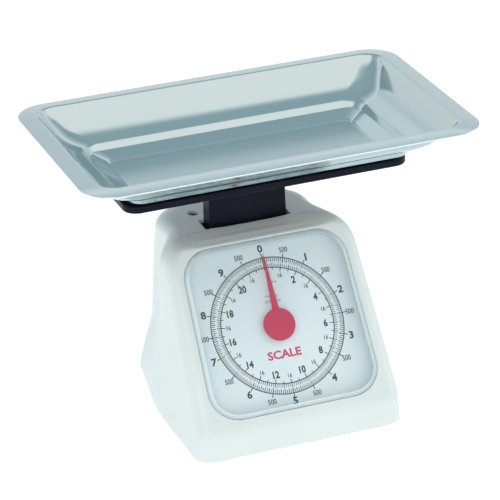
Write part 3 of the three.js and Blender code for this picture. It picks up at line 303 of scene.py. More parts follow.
def housing_outlines(heights, inset=0.0):
    """The housing's outline at each height, anticlockwise from the front's middle: a straight
    front, a rounded corner, a side that narrows to the waist, a rounded back corner and a
    straight back, and the same mirrored."""
    z = np.asarray(heights, float)[:, None]
    rise = (z - RIM_Z) / (FENDER_Z - RIM_Z)
    shoulder = blend_between(BASE_HALF_WIDTH, SHOULDER_HALF_WIDTH, np.minimum(1.0, rise / 0.87))
    front = shoulder - drawn_in(z, SHOULDER_RADIUS) - inset
    back = BACK_HALF_WIDTH + BACK_FLARE * (1 - eased(z, 0, 56)) - drawn_in(z, BACK_EDGE_RADIUS) - inset
    y_front = face_y(z) + inset / np.where(z > 24, math.cos(DIAL_TILT), 1.0)
    y_back = blend_between(BASE_REAR_Y, DECK_REAR_Y, rise) - drawn_in(z, BACK_EDGE_RADIUS) - inset
    corner = blend_between(13.0, 8.0, rise)
    back_corner = blend_between(BACK_CORNER_BASE, BACK_CORNER_DECK, rise ** 3) - inset
    narrow_from = blend_between(-20.0, np.maximum(-6.0, y_front + corner), eased(rise, 0, 1))
    narrow_to = blend_between(120.0, 26.0, eased(rise, -0.1, 0.75))

    def half_width(y):
        """The side's distance from the middle at y: from the front's to the back's, eased."""
        return blend_between(front, back, eased(y, narrow_from, narrow_to))

    run = np.linspace(0.0, 1.0, 24, endpoint=False)[None, :]
    turn = np.radians(np.linspace(-90.0, 0.0, 12, endpoint=False))[None, :]
    side = np.linspace(0.0, 1.0, 60, endpoint=False)[None, :]
    back_turn = np.radians(np.linspace(0.0, 90.0, 20, endpoint=False))[None, :]
    back_run = np.linspace(1.0, 0.0, 12)[None, :]
    side_y = blend_between(y_front + corner, y_back - back_corner, side)
    back_x = half_width(y_back - back_corner) - back_corner
    x = np.hstack([
        (front - corner) * run,
        front - corner + corner * np.cos(turn),
        half_width(side_y),
        back_x + back_corner * np.cos(back_turn),
        back_x * back_run,
    ])
    y = np.hstack([
        y_front + 0 * run,
        y_front + corner + corner * np.sin(turn),
        side_y,
        y_back - back_corner + back_corner * np.sin(back_turn),
        y_back + 0 * back_run,
    ])
    right = np.stack([x, y, z + 0 * x], -1)
    left = right[:, -2:0:-1] * (-1.0, 1.0, 1.0)
    return np.concatenate([right, left], 1)


def deck_rows(last, steps, height):
    """Rings from the last outline to the deck's middle, drawn in evenly, at one height."""
    middle = np.array((0.0, 24.0, height))
    share = np.linspace(1.0, 0.015, steps)[1:, None, None]
    flat = last.copy()
    flat[:, 2] = height
    return middle + (flat[None] - middle) * share


def sunk_deck(rows):
    """Lowers the deck behind the crease that runs across just behind the front rim and bends
    forward at its two ends, eased over a millimetre of Y. The band before the crease falls
    evenly towards the front, and a seam runs along the crease: its depth times e to the minus
    square of the distance over its half width."""
    x, y, z = rows[..., 0], rows[..., 1], rows[..., 2]
    crease = CREASE_Y - CREASE_BEND * (np.abs(x) / CREASE_REACH) ** 4
    near_top = eased(z, *DECK_EDGE_Z)
    out = rows.copy()
    out[..., 2] -= (FENDER_Z - DECK_Z) * eased(y, crease, crease + 1.2) * near_top
    band = np.clip((crease - y) / FRONT_BAND_DEPTH, 0.0, 1.0) * (1.0 - eased(np.abs(x), *BAND_ENDS_X))
    out[..., 2] -= FRONT_BAND_DROP * band * eased(z, *BAND_EDGE_Z)
    out[..., 2] -= SEAM_DEPTH * np.exp(-((y - crease + SEAM_HALF_WIDTH) / SEAM_HALF_WIDTH) ** 2) * near_top
    return out


def rounded_loop(half_x, half_y, corner, steps=18, straight=10):
    """Points of a rounded rectangle, anticlockwise from the lower right corner."""
    turn = np.radians(np.linspace(0.0, 90.0, steps))
    loop = []
    for quarter, (sx, sy) in enumerate(((1, -1), (1, 1), (-1, 1), (-1, -1))):
        angle = turn + math.radians(90.0 * quarter - 90.0)
        arc = np.stack([sx * (half_x - corner) + corner * np.cos(angle),
                        sy * (half_y - corner) + corner * np.sin(angle)], -1)
        loop.append(arc)
    parts = []
    for quarter in range(4):
        start, end = loop[quarter][-1], loop[(quarter + 1) % 4][0]
        between = np.linspace(0.0, 1.0, straight + 1, endpoint=False)[1:, None]
        parts += [loop[quarter], start + (end - start) * between]
    return np.concatenate(parts)


def window_loop(inset, out, steps=18):
    """The window's outline drawn in by inset, out millimetres in front of the printed dial. It
    is a rounded rectangle that is a little narrower at its top."""
    loop = rounded_loop(WINDOW_HALF_WIDTH - inset, WINDOW_HALF_HEIGHT - inset, WINDOW_CORNER - inset, steps)
    up = loop[:, 1] + WINDOW_CENTRE_UP
    wide = loop[:, 0] * (1.0 - WINDOW_TAPER * up)
    return DIAL_PLACE + wide[:, None] * (1.0, 0.0, 0.0) + up[:, None] * DIAL_UP + out * DIAL_OUT


def flared(loops, radius, surface_at, steps=6):
    """Rows of a cutter that opens out in a quarter circle of this radius just under the surface,
    so that the cut's edge comes out rounded. loops(grow, height) gives its outline."""
    turn = np.radians(np.linspace(0.0, 90.0, steps))
    rows = [loops(radius * (1.0 - math.cos(a)), surface_at - radius + radius * math.sin(a)) for a in turn]
    return rows + [loops(radius, surface_at + 6.0)]


def slot_cutter(half, corner, centre, radius, bottom, top):
    """A cutter for an upright rounded hole through the deck."""
    def loops(grow, height):
        """The hole's outline at a height, wider by grow all round."""
        loop = rounded_loop(half[0] + grow, half[1] + grow, corner + grow, 10, 4) + centre
        return np.column_stack([loop, np.full(len(loop), height)])
    return surface("cutter", np.array([loops(0.0, bottom)] + flared(loops, radius, top)))


lower = np.array([RIM_Z, RIM_Z + 0.25, RIM_Z + 0.8, *np.arange(5.0, 20.0, 2.5), *np.arange(20.0, 27.0, 0.7)])
middle = np.linspace(28.0, FENDER_Z - SHOULDER_RADIUS, 40, endpoint=False)
bend = FENDER_Z - SHOULDER_RADIUS + SHOULDER_RADIUS * np.sin(np.radians(np.linspace(0.0, 90.0, 40)))
heights = np.concatenate([lower, middle, bend])
outer = housing_outlines(heights)
outer[0] *= (0.9965, 0.9965, 1.0)
outer = sunk_deck(np.concatenate([outer, deck_rows(outer[-1], 96, FENDER_Z)]))
inner_heights = np.concatenate([[RIM_Z], middle[::4], bend[::4]])
inner = housing_outlines(inner_heights, WALL)
inner[..., 2] -= WALL * eased(inner[..., 2], 90.0, FENDER_Z)
inner = sunk_deck(np.concatenate([inner, deck_rows(inner[-1], 10, inner[-1, 0, 2])]))
housing = surface("housing_shell_moulded", np.concatenate([inner[::-1], outer]), sharp=50.0)

WINDOW_CLEARANCE = 0.08
WINDOW_EDGE_RADIUS = 0.5
HOLE_EDGE_RADIUS = 0.7
CUT_OVER = 0.02
CUT_BOTTOM = DECK_Z - 9.0
window_rows = [window_loop(-WINDOW_CLEARANCE, -4.0)]
window_rows += flared(lambda grow, out: window_loop(-WINDOW_CLEARANCE - grow, out),
                      WINDOW_EDGE_RADIUS, FACE_OVER_DIAL + CUT_OVER)
housing = cut_away(
    housing,
    surface("cutter", np.array(window_rows)),
    slot_cutter(SLOT_HALF, 1.2, (0.0, COLUMN_Y), HOLE_EDGE_RADIUS, CUT_BOTTOM, DECK_Z + CUT_OVER),
    slot_cutter((ZERO_HOLE_RADIUS,) * 2, ZERO_HOLE_RADIUS - 0.01, ZERO_HOLE,
                HOLE_EDGE_RADIUS, CUT_BOTTOM, DECK_Z + CUT_OVER),
    sharp=50.0,
)


def new_finish(name, color, roughness, metallic=0.0, coat=0.0):
    """A material with its constant values on the shader's own sockets."""
    material = bpy.data.materials.new(name)
    material.use_nodes = True
    shader = material.node_tree.nodes["Principled BSDF"]
    shader.inputs["Base Color"].default_value = (*color, 1.0)
    shader.inputs["Roughness"].default_value = roughness
    shader.inputs["Metallic"].default_value = metallic
    shader.inputs["Coat Weight"].default_value = coat
    shader.inputs["Coat Roughness"].default_value = 0.12
    return material


def pattern(material, scale, detail=2.0, stretch=(1.0, 1.0, 1.0)):
    """Noise on the piece's own coordinates, stretched per axis. Returns its value output."""
    tree = material.node_tree
    coords = tree.nodes.new("ShaderNodeTexCoord")
    mapping = tree.nodes.new("ShaderNodeMapping")
    mapping.inputs["Scale"].default_value = stretch
    noise = tree.nodes.new("ShaderNodeTexNoise")
    noise.inputs["Scale"].default_value = scale
    noise.inputs["Detail"].default_value = detail
    tree.links.new(coords.outputs["Object"], mapping.inputs["Vector"])
    tree.links.new(mapping.outputs["Vector"], noise.inputs["Vector"])
    return noise.outputs["Fac"]


def vary_color(material, value, dark, light, low=0.3, high=0.7):
    """Colour from dark to light as the pattern's value goes from low to high."""
    tree = material.node_tree
    ramp = tree.nodes.new("ShaderNodeValToRGB")
    ramp.color_ramp.elements[0].position = low
    ramp.color_ramp.elements[0].color = (*dark, 1.0)
    ramp.color_ramp.elements[1].position = high
    ramp.color_ramp.elements[1].color = (*light, 1.0)
    tree.links.new(value, ramp.inputs[0])
    tree.links.new(ramp.outputs[0], tree.nodes["Principled BSDF"].inputs["Base Color"])
    return ramp


def vary_roughness(material, value, low, high):
    """Roughness from low to high with the pattern's value."""
    tree = material.node_tree
    spread = tree.nodes.new("ShaderNodeMapRange")
    spread.inputs["From Min"].default_value = 0.3
    spread.inputs["From Max"].default_value = 0.7
    spread.inputs["To Min"].default_value = low
    spread.inputs["To Max"].default_value = high
    tree.links.new(value, spread.inputs["Value"])
    tree.links.new(spread.outputs["Result"], tree.nodes["Principled BSDF"].inputs["Roughness"])


def emboss(material, value, depth_mm, strength=1.0):
    """Fine relief of this depth from the pattern's value."""
    tree = material.node_tree
    bump = tree.nodes.new("ShaderNodeBump")
    bump.inputs["Distance"].default_value = depth_mm * MM
    bump.inputs["Strength"].default_value = strength
    tree.links.new(value, bump.inputs["Height"])
    tree.links.new(bump.outputs["Normal"], tree.nodes["Principled BSDF"].inputs["Normal"])


def fit(piece, material, body, nodes=()):
    """Gives the piece its material and its body, and hides the CAD nodes that it stands for."""
    piece.data.materials.clear()
    piece.data.materials.append(material)
    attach(piece, body)
    if nodes:
        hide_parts(*nodes)
    return piece


white_abs = new_finish("white_abs", (0.74, 0.80, 0.785), 0.34, coat=0.12)
vary_color(white_abs, pattern(white_abs, 14.0, 3.0), (0.675, 0.712, 0.703), (0.703, 0.738, 0.729))
vary_roughness(white_abs, pattern(white_abs, 60.0, 3.0), 0.30, 0.40)
emboss(white_abs, pattern(white_abs, 900.0, 2.0), 0.012)
fit(housing, white_abs, "base_unit", ["housing_shell"])

# ---------------------------------------------------------------------------------------------
# The dial plate. Thin sheet printed pale blue white, laid on a ledge inside the window. The
# scales and the lettering are screen printed, so they stand a hair over the paint.
# ---------------------------------------------------------------------------------------------

PLATE_THICK = 1.0
PRINT_THICK = 0.05
OUTER_RING = 55.8
INNER_RING = 47.4
RING_LINE = 0.75
KG_FULL = 10
LB_TURN = 16.33


def on_dial(x, up, out):
    """Points of the row frame from places across, up and in front of the dial."""
    x, up, out = np.broadcast_arrays(x, up, out)
    return DIAL_PLACE + x[..., None] * (1.0, 0.0, 0.0) + up[..., None] * DIAL_UP + out[..., None] * DIAL_OUT


plate_rows = np.array([
    window_loop(1.2, -PLATE_THICK), window_loop(0.6, -PLATE_THICK + 0.2),
    window_loop(0.6, -0.2), window_loop(0.9, 0.0),
])
dial_plate = surface("dial_plate_painted", plate_rows)
dial_paint = new_finish("dial_paint", (0.74, 0.81, 0.84), 0.5)
vary_color(dial_paint, pattern(dial_paint, 9.0, 3.0), (0.715, 0.79, 0.825), (0.76, 0.825, 0.85))
vary_roughness(dial_paint, pattern(dial_paint, 200.0, 3.0), 0.42, 0.58)
emboss(dial_paint, pattern(dial_paint, 1400.0, 2.0), 0.006)
fit(dial_plate, dial_paint, "base_unit", ["dial_plate"])


class Print:
    """Gathers flat printed shapes as points and faces, each a closed sliver on the dial."""

    def __init__(self):
        """Starts with nothing printed."""
        self.points, self.faces, self.count = [], [], 0

    def add(self, points, faces):
        """Takes in points and the faces that number them from nought."""
        self.points.append(points)
        self.faces += [[v + self.count for v in face] for face in faces]
        self.count += len(points)

    def strokes(self, angles, inner, outer, width):
        """One bar for each angle, in degrees clockwise from the top, between two radii."""
        angle = np.radians(np.asarray(angles, float))[:, None]
        radius = np.array((inner, outer, outer, inner) * 2)
        side = np.array((-0.5, -0.5, 0.5, 0.5) * 2) * width
        out = np.array((0.0,) * 4 + (PRINT_THICK,) * 4)
        x = radius * np.sin(angle) + side * np.cos(angle)
        up = radius * np.cos(angle) - side * np.sin(angle)
        points = on_dial(x, up, out + 0 * x).reshape(-1, 3)
        box = ((0, 1, 2, 3), (7, 6, 5, 4), (0, 4, 5, 1), (1, 5, 6, 2), (2, 6, 7, 3), (3, 7, 4, 0))
        faces = [[8 * k + v for v in face] for k in range(len(angle)) for face in box]
        self.add(points, faces)

    def ring(self, radius, width, sides=180):
        """A closed band of this width, a rectangle carried round the dial."""
        angle = np.linspace(0.0, 2 * math.pi, sides, endpoint=False)[:, None]
        r = radius + width * np.array((-0.5, 0.5, 0.5, -0.5))
        out = PRINT_THICK * np.array((0.0, 0.0, 1.0, 1.0))
        points = on_dial(r * np.sin(angle), r * np.cos(angle), out + 0 * angle).reshape(-1, 3)
        faces = [[4 * i + j, 4 * i + (j + 1) % 4, 4 * k + (j + 1) % 4, 4 * k + j]
                 for i, k in zip(range(sides), [*range(1, sides), 0]) for j in range(4)]
        self.add(points, faces)

    def words(self, text, x, up, height, wide=1.0, weight=0.0):
        """Lettering of this height centred on a place of the dial, wide times its usual width."""
        curve = bpy.data.curves.new("words", "FONT")
        curve.body = text
        curve.extrude = 0.5
        curve.offset = weight
        curve.resolution_u = 3
        holder = bpy.data.objects.new("words", curve)
        scene.collection.objects.link(holder)
        bpy.context.view_layer.update()
        mesh = bpy.data.meshes.new_from_object(holder.evaluated_get(bpy.context.evaluated_depsgraph_get()))
        points = np.zeros(len(mesh.vertices) * 3, np.float32)
        mesh.vertices.foreach_get("co", points)
        points = points.reshape(-1, 3).astype(float)
        low, high = points.min(0), points.max(0)
        scale = height / (high[1] - low[1])
        centred = (points - (low + high) / 2) * (scale * wide, scale, PRINT_THICK)
        faces = [list(p.vertices) for p in mesh.polygons]
        self.add(on_dial(x + centred[:, 0], up + centred[:, 1], PRINT_THICK / 2 + centred[:, 2]), faces)
        bpy.data.objects.remove(holder)

    def around(self, text, degrees, radius, height, wide, weight):
        """Upright lettering centred on a place given by its angle and radius."""
        a = math.radians(degrees)
        self.words(text, radius * math.sin(a), radius * math.cos(a), height, wide, weight)

    def piece(self, name):
        """All that was gathered, as one piece."""
        mesh = bpy.data.meshes.new(name)
        mesh.from_pydata((np.concatenate(self.points) * MM).tolist(), [], self.faces)
        piece = bpy.data.objects.new(name, mesh)
        scene.collection.objects.link(piece)
        return piece


black_print = Print()
black_print.ring(OUTER_RING, RING_LINE)
black_print.ring(INNER_RING, RING_LINE)
fine_steps = np.arange(KG_FULL * 20)
black_print.strokes(fine_steps[fine_steps % 2 == 1] * 1.8, OUTER_RING - 3.2, OUTER_RING, 0.55)
black_print.strokes(fine_steps[fine_steps % 2 == 0] * 1.8, OUTER_RING - 4.0, OUTER_RING, 0.60)
black_print.strokes(np.arange(0, 360, 18), OUTER_RING - 4.4, OUTER_RING + 3.2, 0.75)
ounces = np.arange(0, 352, 2)
black_print.strokes(ounces * LB_TURN / 16, INNER_RING, INNER_RING + 2.9, 0.51)
black_print.strokes(ounces[::4] * LB_TURN / 16, INNER_RING - 2.1, INNER_RING + 3.4, 0.62)
black_print.strokes(np.arange(1, 22) * LB_TURN, INNER_RING - 3.4, INNER_RING + 3.4, 0.65)
for kg in range(KG_FULL):
    black_print.around(str(kg), kg * 36.0, 62.0 if kg else 63.4, 6.3, 1.05, 0.035)
    black_print.around("500", kg * 36.0 + 18.0, 62.4, 4.4, 0.82, 0.015)
for pounds in range(1, 22):
    if pounds % 2:
        black_print.around("16", pounds * LB_TURN, 41.2, 3.8, 0.82, 0.015)
    else:
        black_print.around(str(pounds), pounds * LB_TURN, 40.3, 6.1, 0.84, 0.04)
black_print.words("kg  g", 0.6, 58.9, 1.9, 0.9)
black_print.words("lb oz", 5.4, 35.4, 1.9, 0.8)
black_print.words("10 kg x 50 g", 0.0, 24.2, 2.1, 0.95)
black_print.words("22 lb x 2 oz", 0.6, 20.2, 2.1, 0.95)
print_ink = new_finish("print_ink", (0.018, 0.022, 0.028), 0.45)
vary_color(print_ink, pattern(print_ink, 700.0, 3.0), (0.014, 0.018, 0.024), (0.03, 0.036, 0.042))
fit(black_print.piece("dial_print_black"), print_ink, "base_unit")

red_print = Print()
red_print.words("SCALE", 0.0, -23.4, 7.0, 1.12, 0.035)
red_ink = new_finish("red_ink", (0.58, 0.03, 0.12), 0.45)
vary_color(red_ink, pattern(red_ink, 500.0, 3.0), (0.54, 0.025, 0.10), (0.62, 0.04, 0.14))
fit(red_print.piece("dial_print_red"), red_ink, "base_unit")

# ---------------------------------------------------------------------------------------------
# The lens. Clear polystyrene, moulded as a shallow tray with a bevelled edge that stands a
# little over the face, and clipped into the window.
# ---------------------------------------------------------------------------------------------

LENS_PROUD = 1.9
LENS_BEVEL = 4.2
LENS_GAP = 0.3
LENS_WALL = 1.8
LENS_FOOT = 0.3
LENS_SIDE_TOP = 6.2
LENS_SIDE_RADIUS = 0.9
LENS_MIDDLE_INSET = 16.0


def lens_rows(profile):
    """Window outlines for each (inset, height over the dial) of the profile."""
    return np.array([window_loop(LENS_GAP + inset, out) for inset, out in profile])


def paint_points(piece, name, values):
    """Stores one number at each point of the piece, for its material to read."""
    layer = piece.data.attributes.new(name, "FLOAT", "POINT")
    layer.data.foreach_set("value", np.asarray(values, np.float32))


top = FACE_OVER_DIAL + LENS_PROUD
bevel = np.radians(np.linspace(0.0, 90.0, 7))
outside = [(0.0, LENS_FOOT), (0.0, LENS_SIDE_TOP)]
outside += [(LENS_SIDE_RADIUS - LENS_SIDE_RADIUS * math.cos(a),
             LENS_SIDE_TOP + LENS_SIDE_RADIUS * math.sin(a)) for a in bevel[1:]]
outside += [(LENS_BEVEL - 1.0, top - 0.35), (LENS_BEVEL - 0.5, top - 0.1), (LENS_BEVEL, top),
            (LENS_MIDDLE_INSET, top)]
inside = [(LENS_MIDDLE_INSET, top - LENS_WALL), (LENS_BEVEL, top - LENS_WALL),
          (LENS_WALL + 0.6, top - LENS_WALL - 0.6), (LENS_WALL, top - LENS_WALL - 1.6),
          (LENS_WALL, LENS_FOOT)]
lens = surface("dial_lens_clear", lens_rows(inside + outside), sharp=30.0)
at_rim = [1.0 if inset < LENS_BEVEL - 0.6 else 0.0 for inset, out in inside + outside]
paint_points(lens, "rim", np.repeat(at_rim, len(lens.data.vertices) // len(at_rim)))
clear = new_finish("clear_polystyrene", (0.80, 0.88, 0.90), 0.04)
clear_tree = clear.node_tree
clear_shader = clear_tree.nodes["Principled BSDF"]
clear_shader.inputs["IOR"].default_value = 1.5
# The lens grows more opaque where it is seen edge on, and its rim and sides are half opaque, so its pale
# colour shows there: painted light standing in for the light seen in the bevel, and it covers the shade in
# the gap round the lens.
edge_weight = clear_tree.nodes.new("ShaderNodeLayerWeight")
edge_weight.inputs["Blend"].default_value = 0.28
see_through = clear_tree.nodes.new("ShaderNodeMapRange")
see_through.inputs["To Min"].default_value = 0.015
see_through.inputs["To Max"].default_value = 0.30
clear_tree.links.new(edge_weight.outputs["Facing"], see_through.inputs["Value"])
rim_share = clear_tree.nodes.new("ShaderNodeAttribute")
rim_share.attribute_name = "rim"
rim_cover = clear_tree.nodes.new("ShaderNodeMath")
rim_cover.operation = "MULTIPLY_ADD"
rim_cover.use_clamp = True
rim_cover.inputs[1].default_value = 0.5
clear_tree.links.new(rim_share.outputs["Fac"], rim_cover.inputs[0])
clear_tree.links.new(see_through.outputs["Result"], rim_cover.inputs[2])
clear_tree.links.new(rim_cover.outputs["Value"], clear_shader.inputs["Alpha"])
vary_roughness(clear, pattern(clear, 90.0, 3.0), 0.03, 0.07)
fit(lens, clear, "base_unit", ["dial_lens"])

# ---------------------------------------------------------------------------------------------
# The pointer. One red moulding, pressed on the spindle: a thick hub disc with a softly rounded
# edge and a flat blade that tapers to the scale.
# ---------------------------------------------------------------------------------------------

POINTER_TOP = 6.1
POINTER_HUB_RADIUS = 13.2
POINTER_HUB_THICK = 2.6
POINTER_REACH = 56.6
HUB_EDGE = 0.7
HUB_MIDDLE = 0.05
BLADE_ROOT = 8.0
BLADE_HALF_WIDTHS = ((BLADE_ROOT, 14.0, POINTER_REACH), (2.9, 2.8, 0.62))


def turned_on_dial(name, profile, sides=96):
    """A piece turned about the dial's axis: profile holds (radius, height over the dial)."""
    angle = -np.linspace(0.0, -2 * math.pi, sides, endpoint=False) + math.pi / 2
    radius, out = np.array(profile, float).T[..., None]
    return surface(name, on_dial(radius * np.sin(angle), radius * np.cos(angle), out + 0 * angle)[:, ::-1])


hub_base = POINTER_TOP - POINTER_HUB_THICK
hub_flat = POINTER_HUB_RADIUS - HUB_EDGE
edge_turn = np.radians(np.linspace(0.0, 90.0, 6))
hub_profile = [(HUB_MIDDLE, hub_base), (hub_flat, hub_base)]
hub_profile += [(hub_flat + HUB_EDGE * math.sin(a), hub_base + HUB_EDGE - HUB_EDGE * math.cos(a))
                for a in edge_turn[1:]]
hub_profile += [(hub_flat + HUB_EDGE * math.cos(a), POINTER_TOP - HUB_EDGE + HUB_EDGE * math.sin(a))
                for a in edge_turn]
hub_profile += [(6.0, POINTER_TOP + 0.02), (HUB_MIDDLE, POINTER_TOP + 0.03)]
hub = turned_on_dial("pointer_hub", hub_profile)

along = np.linspace(0.0, 1.0, 60)
blade_up = blend_between(BLADE_ROOT, POINTER_REACH, along)
blade_half = np.interp(blade_up, *BLADE_HALF_WIDTHS)
section_x = np.array((-1.0, -1.0, -0.86, 0.86, 1.0, 1.0, 0.86, -0.86))
section_out = np.array((0.25, 0.85, 1.0, 1.0, 0.85, 0.25, 0.1, 0.1)) + hub_base + 0.4
blade = surface("pointer_blade", on_dial(blade_half[:, None] * section_x, blade_up[:, None] + 0 * section_x,
                                         section_out + 0 * blade_half[:, None])[:, ::-1], sharp=60.0)
red_plastic = new_finish("red_plastic", (0.54, 0.008, 0.075), 0.5)
vary_color(red_plastic, pattern(red_plastic, 40.0, 3.0), (0.515, 0.006, 0.066), (0.565, 0.012, 0.080))
vary_roughness(red_plastic, pattern(red_plastic, 160.0, 3.0), 0.36, 0.48)
emboss(red_plastic, pattern(red_plastic, 1100.0, 2.0), 0.008)
fit(hub, red_plastic, "pointer_unit", ["pointer"])
fit(blade, red_plastic, "pointer_unit", ())

# ---------------------------------------------------------------------------------------------
# The column and the support plate. Two black ABS mouldings: a slightly tapered hollow box that
# rises through the slot in the deck, and a ribbed plate screwed on its top.
# ---------------------------------------------------------------------------------------------

COLUMN_HALF = (33.2, 8.25)
COLUMN_CORNER = 1.6
COLUMN_DRAFT = 0.4
COLUMN_BOTTOM = 138.0
COLUMN_TOP = 205.7
SUPPORT_TOP = 208.4
SUPPORT_THICK = 6.0
SUPPORT_HALF = (119.3, 50.0)
SUPPORT_CORNER = 12.0


def upright_rows(profile, half, corner, centre=(0.0, 0.0), steps=12, straight=6):
    """Rounded outlines drawn in by inset at each height of a profile of (inset, height)."""
    rows = []
    for inset, height in profile:
        loop = rounded_loop(half[0] - inset, half[1] - inset, max(corner - inset, 0.2), steps, straight)
        rows.append(np.column_stack([loop + centre, np.full(len(loop), height)]))
    return np.array(rows)


def rounded_edge(inset, height, radius, rising, steps=6):
    """(inset, height) pairs of a quarter-round edge: drawn in at its outer end."""
    turn = np.radians(np.linspace(0.0, 90.0, steps))
    if rising:
        return [(inset + radius * (1 - math.cos(a)), height - radius + radius * math.sin(a)) for a in turn]
    return [(inset + radius * (1 - math.sin(a)), height + radius * (1 - math.cos(a))) for a in turn]


column_profile = [(0.0, COLUMN_BOTTOM)]
column_profile += [(COLUMN_DRAFT * t, blend_between(COLUMN_BOTTOM, COLUMN_TOP - 0.5, t))
                   for t in np.linspace(0.1, 1.0, 10)]
column_profile += [(COLUMN_DRAFT + 0.5, COLUMN_TOP)]
column_rows = upright_rows(column_profile, COLUMN_HALF, COLUMN_CORNER, (0.0, COLUMN_Y))
column = surface("column_moulded", column_rows, sharp=50.0)

SKIRT_WALL = 2.6
PLATE_MIDDLE_INSET = 40.0
plate_bottom = SUPPORT_TOP - SUPPORT_THICK
plate_under = SUPPORT_TOP - 2.4
plate_profile = [(PLATE_MIDDLE_INSET, plate_under), (SKIRT_WALL + 0.8, plate_under),
                 (SKIRT_WALL, plate_under - 0.8), (SKIRT_WALL, plate_bottom + 0.3),
                 (SKIRT_WALL - 0.3, plate_bottom)]
plate_profile += rounded_edge(0.0, plate_bottom, 1.0, rising=False)
plate_profile += rounded_edge(0.0, SUPPORT_TOP, 0.9, rising=True) + [(PLATE_MIDDLE_INSET, SUPPORT_TOP)]
support_rows = upright_rows(plate_profile, SUPPORT_HALF, SUPPORT_CORNER)
support = surface("support_plate_moulded", support_rows, sharp=50.0)

black_abs = new_finish("black_abs", (0.005, 0.006, 0.014), 0.34)
black_abs.node_tree.nodes["Principled BSDF"].inputs["Specular IOR Level"].default_value = 0.10
vary_color(black_abs, pattern(black_abs, 22.0, 3.0), (0.004, 0.005, 0.012), (0.007, 0.009, 0.018))
vary_roughness(black_abs, pattern(black_abs, 120.0, 3.0), 0.26, 0.38)
emboss(black_abs, pattern(black_abs, 1000.0, 2.0), 0.005)
fit(column, black_abs, "carriage_unit", ["column"])
fit(support, black_abs, "carriage_unit", ["support_plate"])

# ---------------------------------------------------------------------------------------------
# The goods tray. One polished stainless sheet, drawn in a press: a rim that falls a little
# outwards, sloping walls, a rounded step, and a shallow well that stands on the support plate.
# ---------------------------------------------------------------------------------------------

TRAY_SHEET = 0.9
TRAY_RIM_Z = 244.6
TRAY_HEM_Z = 242.9
TRAY_LEDGE_Z = 219.2
TRAY_FLOOR_Z = 209.6

# Each station: half length, half depth, height, corner radius, and how much of it is rounded.
TRAY_STATIONS = np.array((
    (165.0, 104.0, TRAY_HEM_Z, 27.0, 0.0),
    (165.0, 104.0, TRAY_HEM_Z + 1.3, 27.0, 0.5),
    (151.0, 90.0, TRAY_RIM_Z + 1.4, 17.0, 1.6),
    (147.0, 85.0, 239.2, 16.0, 4.0),
    (137.0, 71.0, 224.0, 21.0, 9.0),
    (122.5, 61.0, TRAY_LEDGE_Z + 0.2, 16.0, 1.6),
    (118.0, 57.2, TRAY_LEDGE_Z - 4.8, 13.0, 0.7),
    (106.2, 44.6, TRAY_FLOOR_Z + 1.1, 8.5, 0.7),
    (104.8, 42.6, TRAY_FLOOR_Z, 7.5, 0.7),
    (60.0, 20.0, TRAY_FLOOR_Z, 5.0, 0.0),
))


def rounded_stations(stations, steps=8):
    """The stations joined by straight runs, with each bend replaced by a parabola that starts
    and ends the given distance from it."""
    places, bends = stations[:, :4], stations[:, 4]
    rows = [places[0]]
    for k in range(1, len(places) - 1):
        before, here, after = places[k - 1], places[k], places[k + 1]
        start = here + (before - here) * (bends[k] / np.linalg.norm((before - here)[[1, 2]]))
        end = here + (after - here) * (bends[k] / np.linalg.norm((after - here)[[1, 2]]))
        for t in np.linspace(0.0, 1.0, steps):
            rows.append((1 - t) ** 2 * start + 2 * t * (1 - t) * here + t ** 2 * end)
    return np.array(rows + [places[-1]])


def unit(vectors):
    """Each vector divided by its length."""
    return vectors / np.maximum(np.linalg.norm(vectors, axis=-1, keepdims=True), 1e-12)


def sheet_under(rows, thick):
    """The rows moved to the sheet's other side, along normals that are the cross product of the
    steps to the neighbouring rows and to the neighbouring points of a row."""
    down = np.gradient(rows, axis=0)
    along = np.roll(rows, -1, axis=1) - np.roll(rows, 1, axis=1)
    return rows - thick * unit(np.cross(along, down))


CORNER_STEPS = 26
STRAIGHT_STEPS = 12
tray_top = np.array([
    np.column_stack([rounded_loop(half_x, half_y, corner, CORNER_STEPS, STRAIGHT_STEPS),
                     np.full(4 * (CORNER_STEPS + STRAIGHT_STEPS), height)])
    for half_x, half_y, height, corner in rounded_stations(TRAY_STATIONS)
])
tray_rows = np.concatenate([sheet_under(tray_top, TRAY_SHEET)[::-1], tray_top])
tray = surface("tray_pressed", tray_rows, sharp=60.0)
paint_points(tray, "under", np.repeat((1.0, 0.0), tray_top.shape[0] * tray_top.shape[1]))

stainless = new_finish("polished_stainless", (0.72, 0.78, 0.79), 0.10, metallic=1.0)
stainless_tree = stainless.node_tree
stainless_shader = stainless_tree.nodes["Principled BSDF"]
emboss(stainless, pattern(stainless, 5.0, 1.5), 0.18, 0.3)
height_split = stainless_tree.nodes.new("ShaderNodeSeparateXYZ")
stainless_coords = stainless_tree.nodes.new("ShaderNodeTexCoord")
stainless_tree.links.new(stainless_coords.outputs["Object"], height_split.inputs[0])
